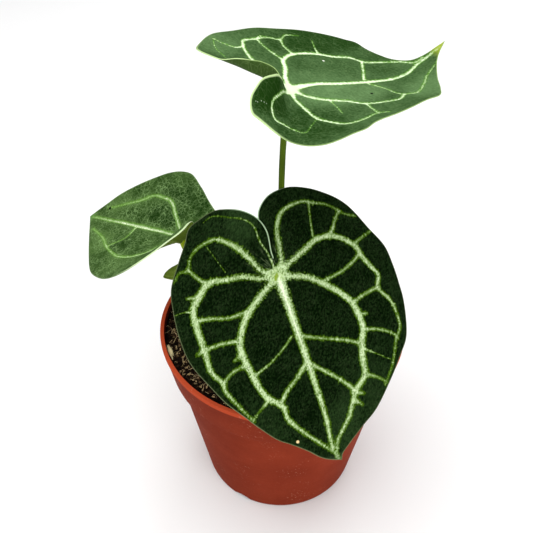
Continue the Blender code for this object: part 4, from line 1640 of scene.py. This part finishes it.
def wall_corners(inset: float, lift: float) -> Profile:
    """The wall's bend points.

    Args:
        inset: how far they are moved inwards.
        lift: how far those of the step are moved upwards.

    Returns:
        (radius, height) of each, from foot to collar top.
    """
    return [
        (BASE_RADIUS - inset, FOOT_ROUND),
        (WALL_TOP_RADIUS - inset, COLLAR_FOOT - STEP_FALL + lift),
        (COLLAR_FOOT_RADIUS - inset, COLLAR_FOOT + lift),
        (COLLAR_TOP_RADIUS - inset, POT_HEIGHT - LIP_HEIGHT),
    ]


def radius_at(profile: Profile, height: float) -> float:
    """Radius of a wall profile at this height."""
    return float(np.interp(height, [point[1] for point in profile], [point[0] for point in profile]))


@dataclass(frozen=True)
class PlasticFinish:
    """Moulded plastic in a terracotta colour: mottled, lightly scuffed and dusty, with a painted highlight
    on the lip's top band and painted shade on the inside of the wall.
    """

    name: str
    body: Color = srgb(138, 53, 31)
    shade: Color = srgb(106, 36, 21)
    # painted highlight: the rim's top band is a lighter orange where light falls on the lip
    lip: Color = srgb(186, 75, 45)
    # painted shade on the inside of the wall, below the lip
    inner: Color = srgb(62, 15, 9)
    dust: Color = srgb(206, 148, 122)

    def make(self) -> Material:
        """Build the material.

        Returns:
            The material.
        """
        paint = Paint(self.name, {"Specular IOR Level": 0.008})
        place = paint.place()
        height = paint.parts(place)[2]
        cloud = paint.grain(place, 38.0, 3.0, 0.55)
        fine = paint.grain(place, 900.0, 2.0, 0.7)
        rings = paint.grain(paint.stretched(place, (8.0, 8.0, 700.0)), 1.0, 2.0, 0.6)
        mottle = cloud * 0.28 + rings * 0.04 + fine * 0.12 + 0.42
        paint.color = paint.mix(mottle.clamped(), self.body, self.shade)
        # painted highlight on the lip's top band
        paint.lay(height.rise(POT_HEIGHT - 0.0038, POT_HEIGHT - 0.0024), self.lip)
        # painted shade: the inside of the wall is darkened
        paint.lay(paint.attribute("inside"), self.inner)
        paint.lay(fine.rise(0.5, 1.4) * 0.08, self.dust)
        for turn, scale, share in (((20, 35, 50), (620, 620, 150), 0.45),
                                   ((70, -25, 15), (760, 760, 190), 0.4)):
            warped = paint.stretched(place, scale, turn)
            stroke = paint.cells(warped, 1.0, "F1").rise(0.2, 0.08)
            kept = paint.grain(place, 65.0, 2.0, 0.6).rise(-0.1, 0.8)
            paint.lay(stroke * kept * share, self.dust)
        dots = paint.cells(place, 420.0, "F1").rise(0.10, 0.05) * paint.grain(place, 150.0).rise(0.7, 1.0)
        paint.lay(dots * 0.7, srgb(52, 24, 18))
        relief = fine * 0.18 + rings * 0.12 + cloud * 0.12
        return paint.done(cloud * 0.03 + 0.55 + fine * 0.03, paint.bump(relief, 0.00016, 0.6))


@dataclass
class NurseryPot:
    """The tapered pot with its tall collar, rolled lip and three arched drain slots."""

    steps: int = 224

    def build(self) -> Object:
        """Build the pot.

        Returns:
            The pot as one closed mesh.
        """
        inner = wall_corners(WALL, WALL)
        floor_edge = radius_at(inner, FLOOR + FOOT_ROUND)
        lip_in, top = LIP_RADIUS - LIP_WIDTH, POT_HEIGHT
        under_lip = top - LIP_HEIGHT
        corners = [
            (0.0, FLOOR, 0.0), (floor_edge / 2, FLOOR, 0.0), (floor_edge, FLOOR, FLOOR_ROUND),
            (*inner[1], WALL_ROUND), (*inner[2], WALL_ROUND), (*inner[3], 0.0004),
            (lip_in, top - 0.0009, 0.0002), (lip_in, top, LIP_ROUND), (LIP_RADIUS, top, LIP_ROUND),
            (LIP_RADIUS, top - 0.0014, 0.0002), (LIP_RADIUS - LIP_LINE, top - 0.0017, 0.0),
            (LIP_RADIUS - 0.0001, top - 0.0020, 0.0002), (LIP_RADIUS - 0.0002, under_lip + 0.0003, 0.0004),
            (COLLAR_TOP_RADIUS + 0.0001, under_lip - 0.0001, 0.0003),
        ]
        outer = wall_corners(0.0, 0.0)[::-1][1:]
        corners += [
            (*outer[0], 0.0007), (*outer[1], WALL_ROUND), (BASE_RADIUS, 0.0, 0.0014),
            (BASE_RADIUS - FOOT_RING, 0.0, 0.0003), (BASE_RADIUS - FOOT_RING * 1.2, FOOT_RECESS, 0.0003),
            (0.006, FOOT_RECESS, 0.0), (0.0, FOOT_RECESS, 0.0),
        ]
        profile = self._divided(rounded(corners))
        pot = turned_shell("pot_shell", profile, self.steps)
        for index, angle in enumerate(SLOT_ANGLES):
            self._cut_slot(pot, index, math.radians(angle))
        pot = plain_mesh(pot, "pot_shell")
        for cutter in [o for o in bpy.data.objects if o.name.startswith("slot_cutter")]:
            bpy.data.objects.remove(cutter, do_unlink=True)
        pot.data.materials.clear()
        pot.data.materials.append(PlasticFinish("terracotta_plastic_skin").make())
        pot.data.polygons.foreach_set("material_index", [0] * len(pot.data.polygons))
        self._mark_inside(pot.data)
        pot.data.set_sharp_from_angle(angle=math.radians(38))
        return pot

    @staticmethod
    def _mark_inside(mesh: Mesh) -> None:
        """Store on each point whether it lies on the inside of the wall, where the finish paints shade.

        Args:
            mesh: the pot's mesh.
        """
        outer = wall_corners(0.0, 0.0)
        marks = []
        for vert in mesh.vertices:
            out = math.hypot(vert.co.x, vert.co.y)
            within = out < radius_at(outer, vert.co.z) - WALL / 2 and vert.co.z < POT_HEIGHT - LIP_WIDTH / 3
            marks.append(1.0 if within else 0.0)
        store_numbers(mesh, "inside", marks)

    @staticmethod
    def _divided(profile: Profile, longest: float = 0.006) -> Profile:
        """Divide a profile's long straight pieces.

        Args:
            profile: the profile's points.
            longest: the longest piece that is left.

        Returns:
            The new profile.
        """
        made = [profile[0]]
        for start, end in zip(profile, profile[1:]):
            pieces = max(1, math.ceil(math.dist(start, end) / longest))
            for piece in range(1, pieces + 1):
                t = piece / pieces
                made.append((start[0] + (end[0] - start[0]) * t, start[1] + (end[1] - start[1]) * t))
        return made

    @staticmethod
    def _cut_slot(pot: Object, index: int, turn: float) -> None:
        """Cut one arched drain slot out of the foot.

        Args:
            pot: the pot.
            index: the slot's number.
            turn: where it lies round the pot, in radians.
        """
        outward = Vector((math.cos(turn), math.sin(turn), 0.0))
        bm = bmesh.new()
        bmesh.ops.create_cone(bm, cap_ends=True, segments=64, radius1=SLOT_RADIUS, radius2=SLOT_RADIUS,
                              depth=SLOT_DEPTH)
        mesh = mesh_from(bm, f"slot_cutter_{index}")
        cutter = link_object(mesh.name, mesh)
        middle = outward * (BASE_RADIUS - 0.001) + Vector((0, 0, SLOT_HEIGHT - SLOT_RADIUS))
        mesh.transform(Matrix.Translation(middle) @ outward.to_track_quat("Z", "Y").to_matrix().to_4x4())
        cutter.hide_render = True
        boolean = pot.modifiers.new(f"slot_{index}", "BOOLEAN")
        boolean.operation = "DIFFERENCE"
        boolean.solver = "EXACT"
        boolean.object = cutter


class Litter(Enum):
    """What lies in the potting mix."""

    CRUMB = "crumb"
    FIBRE = "fibre"
    CHIP = "chip"


@dataclass(frozen=True)
class EarthFinish:
    """Coir and peat: each bit has its own shade, from near-black to tan."""

    name: str
    dark: Color = srgb(12, 8, 7)
    middle: Color = srgb(74, 53, 38)
    pale: Color = srgb(176, 148, 106)
    pale_from: float = 0.82

    def make(self) -> Material:
        """Build the material.

        Returns:
            The material.
        """
        paint = Paint(self.name, {"Specular IOR Level": 0.02})
        place = paint.place()
        tint = paint.attribute("tint")
        coarse = paint.grain(place, 260.0, 3.0, 0.65)
        fine = paint.grain(place, 1500.0, 2.0, 0.7)
        tone = (tint * 1.05) ** 1.8 + coarse * 0.18
        paint.color = paint.mix(tone.clamped(), self.dark, self.middle)
        paint.lay((tint + coarse * 0.04).rise(self.pale_from, self.pale_from + 0.12), self.pale)
        paint.lay(fine.rise(0.2, 1.6) * 0.35, self.dark)
        return paint.done(fine * 0.03 + 0.88, paint.bump(coarse * 0.5 + fine * 0.3, 0.0004, 0.9))


@dataclass(frozen=True)
class Bits:
    """One kind of litter: bits per square metre, their range of scale, furthest lean in radians,
    finish, and a lump's half lengths, unevenness and fineness."""

    density: float
    scales: tuple[float, float]
    tilt: float
    finish: EarthFinish
    size: Triple = (0.0, 0.0, 0.0)
    uneven: float = 0.0
    fineness: int = 1


STREWN = {
    Litter.CRUMB: Bits(
        600000.0, (0.4, 1.25), 3.14, EarthFinish("potting_mix_crumb", pale_from=0.86),
        (0.00075, 0.00060, 0.00050), 0.7, 1,
    ),
    Litter.FIBRE: Bits(560000.0, (0.5, 1.5), 0.7, EarthFinish(
        "potting_mix_fibre", dark=srgb(22, 14, 10), middle=srgb(92, 68, 46), pale=srgb(204, 178, 134),
        pale_from=0.72,
    )),
    Litter.CHIP: Bits(40000.0, (0.25, 0.65), 0.8, EarthFinish(
        "potting_mix_chip", dark=srgb(40, 28, 20), middle=srgb(104, 76, 52), pale=srgb(200, 172, 130),
        pale_from=0.6,
    ), (0.0021, 0.0013, 0.00045), 0.35, 2),
}

FIBRE_LENGTHS = (0.0012, 0.0034)
FIBRE_BOW = 0.0009
FIBRE_RADII = (0.00009, 0.00017)
PALE_CHIP_PLACE = (-0.0534, -0.0184)
PALE_CHIP_SIZE = (0.0040, 0.0010, 0.0008)
PALE_CHIP_TURN = 112.0
PALE_CHIP_LEAN = 18.0


@dataclass
class PottingMix:
    """The filling: a lumpy top strewn with crumbs, fibres and chips, round the crown."""

    rings: int = 64
    steps: int = 208
    spokes: int = 120
    hoops: int = 44
    variants: int = 6
    seed: int = 11

    def build(self) -> list[Object]:
        """Build the filling and its litter.

        Returns:
            The filling, then each kind of litter.
        """
        ground = self._filling()
        ground.data.materials.append(EarthFinish(
            "potting_mix_ground", dark=srgb(10, 7, 6), middle=srgb(40, 28, 20), pale_from=2.0,
        ).make())
        return [ground, *(self._strew(kind, bits) for kind, bits in STREWN.items()), self._pale_chip()]

    @staticmethod
    def height(x: float, y: float) -> float:
        """Height of the lumpy top at a point.

        Args:
            x, y: the point, in metres.

        Returns:
            The height, in metres.
        """
        out = math.hypot(x, y) / COLLAR_FOOT_RADIUS
        level = SOIL_LEVEL - SOIL_DIP + SOIL_MOUND * (1 - out)
        for per_metre, layer, size in SOIL_LUMPS:
            level += size * noise.noise(Vector((x * per_metre, y * per_metre, layer)))
        return level

    def _filling(self) -> Object:
        """Turn the filling's closed body and make its top lumpy.

        Returns:
            The filling.
        """
        wall = wall_corners(WALL + GAP, WALL + GAP)
        bottom = FLOOR + GAP
        floor_edge = radius_at(wall, FLOOR + FOOT_ROUND)
        edge = radius_at(wall, SOIL_EDGE)
        profile = [(0.0, bottom), (floor_edge / 2, bottom), (floor_edge - FOOT_ROUND, bottom),
                   (floor_edge, FLOOR + FOOT_ROUND), wall[1], wall[2], (edge, SOIL_EDGE)]
        for share in np.linspace(0, 1, self.rings)[1:]:
            profile.append((float(edge * (1 - share)), SOIL_EDGE))
        ground = turned_shell("potting_mix", profile, self.steps)
        first_top = edge - SOIL_RIM
        for vert in ground.data.vertices:
            if vert.co.z > SOIL_EDGE - 1e-6 and math.hypot(vert.co.x, vert.co.y) < first_top:
                vert.co.z = self.height(vert.co.x, vert.co.y)
        store_numbers(ground.data, "tint", [0.35] * len(ground.data.vertices))
        return ground

    def _sheet(self) -> Object:
        """Lay a sheet over the top, for the litter to be strewn on.

        Returns:
            The sheet.
        """
        bm = bmesh.new()
        start = CROWN_RADIUS * 0.8
        limit = radius_at(wall_corners(WALL + GAP, WALL + GAP), SOIL_LEVEL) - LITTER_RIM
        rings = []
        for hoop in range(self.hoops + 1):
            radius = start + (limit - start) * hoop / self.hoops
            points = []
            for spoke in range(self.spokes):
                turn = 2 * math.pi * spoke / self.spokes
                x, y = radius * math.cos(turn), radius * math.sin(turn)
                points.append(bm.verts.new((x, y, self.height(x, y))))
            rings.append(points)
        for low, high in zip(rings, rings[1:]):
            for spoke in range(self.spokes):
                after = (spoke + 1) % self.spokes
                bm.faces.new((low[spoke], high[spoke], high[after], low[after]))
        return link_object("litter_sheet", mesh_from(bm, "litter_sheet"))

    def _kinds(self, kind: Litter, bits: Bits) -> bpy.types.Collection:
        """Make a few different bits of one kind, at the origin.

        Args:
            kind: the kind.
            bits: its sizes.

        Returns:
            A collection that holds the bits.
        """
        holder = bpy.data.collections.new(f"bits_{kind.value}")
        rng = np.random.default_rng(self.seed + len(kind.value))
        for index in range(self.variants):
            bm = bmesh.new()
            if kind is Litter.FIBRE:
                self._fibre(bm, rng)
            else:
                bmesh.ops.create_icosphere(bm, subdivisions=bits.fineness, radius=1.0)
                for vert in bm.verts:
                    rough = 1 + 0.32 * rng.standard_normal() * bits.uneven
                    vert.co = Vector([c * s * max(0.5, rough) for c, s in zip(vert.co, bits.size)])
            mesh = mesh_from(bm, f"{kind.value}_{index}")
            holder.objects.link(bpy.data.objects.new(mesh.name, mesh))
        return holder

    @staticmethod
    def _fibre(bm: bmesh.types.BMesh, rng: np.random.Generator) -> None:
        """Make one bent coir fibre as a thin tapered three-sided strand.

        Args:
            bm: the bmesh that takes the fibre.
            rng: the source of its length, bow and thickness.
        """
        length = rng.uniform(*FIBRE_LENGTHS)
        bow = rng.uniform(-FIBRE_BOW, FIBRE_BOW)
        thick = rng.uniform(*FIBRE_RADII)
        rings = []
        for step in range(6):
            t = step / 5
            x, y = (t - 0.5) * length, bow * math.sin(math.pi * t)
            z = 0.0006 + 0.0004 * math.sin(5 * t + bow * 900)
            radius = thick * (0.45 + 0.55 * math.sin(math.pi * (0.1 + 0.8 * t)))
            rings.append([
                bm.verts.new((x, y + radius * math.cos(a), z + radius * math.sin(a)))
                for a in (0, 2 * math.pi / 3, 4 * math.pi / 3)
            ])
        for low, high in zip(rings, rings[1:]):
            for side in range(3):
                after = (side + 1) % 3
                bm.faces.new((low[side], low[after], high[after], high[side]))
        bm.faces.new(rings[0])
        bm.faces.new(rings[-1])
        bmesh.ops.recalc_face_normals(bm, faces=bm.faces[:])

    def _strew(self, kind: Litter, bits: Bits) -> Object:
        """Strew one kind of litter over the top.

        Args:
            kind: what is strewn.
            bits: how it is made and strewn.

        Returns:
            The litter as one plain mesh.
        """
        tree = Relief(f"strew_{kind.value}", {
            "Bits": "Collection", "Density": "Float", "Smallest": "Float", "Largest": "Float",
            "Tilt": "Vector", "Seed": "Int", "Finish": "Material",
        })
        points = tree.node("GeometryNodeDistributePointsOnFaces", None, {
            "Mesh": tree.given("Geometry"), "Density": tree.given("Density"), "Seed": tree.given("Seed")})
        made = tree.node("GeometryNodeCollectionInfo", None, {
            "Collection": tree.given("Bits"), "Separate Children": True, "Reset Children": True})
        lowest = tree.node("ShaderNodeVectorMath", {"operation": "MULTIPLY"},
                           {0: tree.given("Tilt"), 1: (-1.0, -1.0, -1.0)})
        lean = tree.node("FunctionNodeRandomValue", {"data_type": "FLOAT_VECTOR"},
                         {0: lowest.outputs[0], 1: tree.given("Tilt"), "Seed": 3})
        turn = tree.node("FunctionNodeEulerToRotation", None, {0: lean.outputs[0]})
        size = tree.node("FunctionNodeRandomValue", {"data_type": "FLOAT"},
                         {2: tree.given("Smallest"), 3: tree.given("Largest"), "Seed": 5})
        laid = tree.node("GeometryNodeInstanceOnPoints", None, {
            "Points": points.outputs["Points"], "Instance": made.outputs[0], "Pick Instance": True,
            "Rotation": turn.outputs[0], "Scale": size.outputs[1]})
        tint = tree.node("FunctionNodeRandomValue", {"data_type": "FLOAT"}, {2: 0.0, 3: 1.0, "Seed": 7})
        tree.close(tree.marked(laid.outputs[0], "tint", tint.outputs[1], "INSTANCE"))
        smallest, largest = bits.scales
        return tree.run(self._sheet(), f"litter_{kind.value}", {
            "Bits": self._kinds(kind, bits), "Density": bits.density, "Smallest": smallest,
            "Largest": largest, "Tilt": (bits.tilt, bits.tilt, math.pi), "Seed": self.seed,
            "Finish": bits.finish.make(),
        })

    def _pale_chip(self) -> Object:
        """Make the pale wood chip by the left wall.

        Returns:
            The chip.
        """
        bm = bmesh.new()
        bmesh.ops.create_icosphere(bm, subdivisions=3, radius=1.0)
        for vert in bm.verts:
            rough = 1 + 0.9 * noise.noise(vert.co * 2.6)
            vert.co = Vector([c * s * rough for c, s in zip(vert.co, PALE_CHIP_SIZE)])
        x, y = PALE_CHIP_PLACE
        lean = Matrix.Rotation(math.radians(PALE_CHIP_LEAN), 4, "X")
        turn = Matrix.Rotation(math.radians(PALE_CHIP_TURN), 4, "Z") @ lean
        bm.transform(Matrix.Translation((x, y, self.height(x, y) + PALE_CHIP_SIZE[1])) @ turn)
        for face in bm.faces:
            face.smooth = True
        mesh = mesh_from(bm, "pale_chip")
        store_numbers(mesh, "tint", [0.9] * len(mesh.vertices))
        mesh.materials.append(EarthFinish(
            "pale_chip_wood", dark=srgb(110, 88, 58), middle=srgb(170, 144, 100), pale=srgb(222, 206, 160),
            pale_from=0.6,
        ).make())
        return link_object("pale_chip", mesh)


@dataclass(frozen=True)
class CrownFinish:
    """The crown's skin: brown, ringed by old leaf scars and dry fibre."""

    name: str
    dark: Color = srgb(58, 40, 24)
    pale: Color = srgb(128, 98, 62)

    def make(self) -> Material:
        """Build the material.

        Returns:
            The material.
        """
        paint = Paint(self.name, {"Specular IOR Level": 0.25})
        place = paint.place()
        rings = paint.grain(paint.stretched(place, (60.0, 60.0, 900.0)), 1.0, 3.0, 0.6)
        fibres = paint.grain(paint.stretched(place, (1300.0, 1300.0, 160.0)), 1.0, 3.0, 0.7)
        paint.color = paint.mix((rings * 0.25 + fibres * 0.25 + 0.5).clamped(), self.dark, self.pale)
        return paint.done(fibres * 0.04 + 0.8, paint.bump(rings * 0.5 + fibres * 0.35, 0.0006, 0.9))


@dataclass
class Crown:
    """The short stem in the middle of the mix, ringed by old leaf scars."""

    steps: int = 96
    scar: float = 0.00035
    lump: float = 0.0005
    inset: float = 0.0004

    def build(self) -> Object:
        """Build the crown.

        Returns:
            The crown as one closed mesh.
        """
        shoulder = CROWN_TOP - CROWN_DOME
        profile = [(0.0, CROWN_FOOT), (CROWN_RADIUS - 0.002, CROWN_FOOT), (CROWN_RADIUS, CROWN_FOOT + 0.002)]
        profile += [(CROWN_RADIUS, height) for height in np.linspace(CROWN_FOOT + 0.003, shoulder, 26)]
        for share in np.linspace(0.05, 1, 16):
            turn = share * math.pi / 2
            radius = CROWN_RADIUS * math.cos(turn) if share < 1 else 0.0
            profile.append((radius, shoulder + CROWN_DOME * math.sin(turn)))
        crown = turned_shell("crown_stem", profile, self.steps)
        for vert in crown.data.vertices:
            out = Vector((vert.co.x, vert.co.y, 0.0))
            if out.length > 0.0005:
                swerve = 0.8 * math.sin(2 * math.atan2(out.y, out.x))
                scars = self.scar * math.sin(vert.co.z * 2400 + swerve)
                lumps = self.lump * noise.noise(vert.co * 420)
                vert.co += out.normalized() * (scars + lumps - self.inset)
        crown.data.materials.append(CrownFinish("crown_skin").make())
        return crown


# Studio


@dataclass(frozen=True)
class SoftLight:
    """A square soft light that points at a target; metres and watts."""

    name: str
    place: Triple
    target: Triple
    size: float
    power: float

    def build(self) -> None:
        """Add the light."""
        data = bpy.data.lights.new(self.name, "AREA")
        data.size = self.size
        data.energy = self.power
        light = link_object(self.name, data)
        light.visible_camera = False
        light.location = self.place
        aim = Vector(self.target) - Vector(self.place)
        light.rotation_euler = aim.to_track_quat("-Z", "Y").to_euler()


@dataclass
class Studio:
    """The camera, the soft lights and the pale floor."""

    camera_place: Triple = (-0.0076, -0.2381, 0.3455)
    camera_tilt: float = 48.9
    lens: float = 46.27
    lights: tuple[SoftLight, ...] = (
        SoftLight("overhead", (-0.25, -0.1, 1.1), (0.0, 0.0, 0.12), 1.1, 9.0),
        SoftLight("front", (0.55, -0.95, 0.65), (0.0, 0.0, 0.1), 0.9, 5.5),
        SoftLight("back", (0.5, 0.9, 0.7), (0.0, 0.0, 0.15), 0.8, 4.0),
        SoftLight("low", (0.5, -0.45, 0.06), (0.0, 0.0, 0.03), 0.25, 0.5),
    )
    sky: float = 0.55
    floor_size: float = 6.0
    floor_drop: float = 0.0002

    def build(self) -> None:
        """Set up the whole studio."""
        scene = bpy.context.scene
        data = bpy.data.cameras.new("camera")
        data.lens = self.lens
        data.sensor_width = 36.0
        data.clip_start = 0.01
        camera = link_object("camera", data)
        camera.location = self.camera_place
        camera.rotation_euler = (math.radians(self.camera_tilt), 0.0, 0.0)
        scene.camera = camera
        scene.view_settings.view_transform = "Standard"
        for light in self.lights:
            light.build()
        world = bpy.data.worlds.new("studio")
        world.use_nodes = True
        background = world.node_tree.nodes["Background"]
        background.inputs["Color"].default_value = (1.0, 1.0, 1.0, 1.0)
        background.inputs["Strength"].default_value = self.sky
        scene.world = world
        self._floor()

    def _floor(self) -> None:
        """Add the pale floor."""
        bm = bmesh.new()
        bmesh.ops.create_grid(bm, x_segments=2, y_segments=2, size=self.floor_size)
        mesh = mesh_from(bm, "floor")
        mesh.transform(Matrix.Translation((0, 0, -self.floor_drop)))
        floor = link_object("floor", mesh)
        paint = Paint("pale_floor", {"Roughness": 0.9, "Specular IOR Level": 0.1})
        tone = paint.grain(paint.place(), 30.0, 2.0, 0.5)
        paint.color = paint.mix(tone * 0.01 + 0.02, (0.92, 0.92, 0.92, 1.0), (0.86, 0.86, 0.86, 1.0))
        mesh.materials.append(paint.done())


# Assembly


def settle(piece: Object, slot: str, *nodes: str) -> None:
    """Tie a finished piece to the frame.

    Args:
        piece: the finished piece.
        slot: not used.
        nodes: the solids that it stands for.
    """
    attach(piece, BODY)
    if nodes:
        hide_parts(*nodes)
    LOG.info("%s: %d faces", piece.name, len(piece.data.polygons))


def main() -> None:
    """Build every piece in order."""
    logging.basicConfig(level=logging.INFO, format="%(name)s: %(message)s")
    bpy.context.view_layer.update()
    Studio().build()
    settle(NurseryPot().build(), "terracotta_plastic", "pot")
    filling, *litter = PottingMix().build()
    settle(filling, "potting_mix", "soil")
    for piece in litter:
        settle(piece, "potting_mix")
    settle(Crown().build(), "crown_bark", "crown")
    for leaf in LEAVES:
        settle(leaf.blade(), f"velvet_{leaf.name}", f"blade_{leaf.name}")
        settle(leaf.petiole(), f"petiole_skin_{leaf.name}", f"petiole_{leaf.name}")


if __name__ == "__main__":
    main()
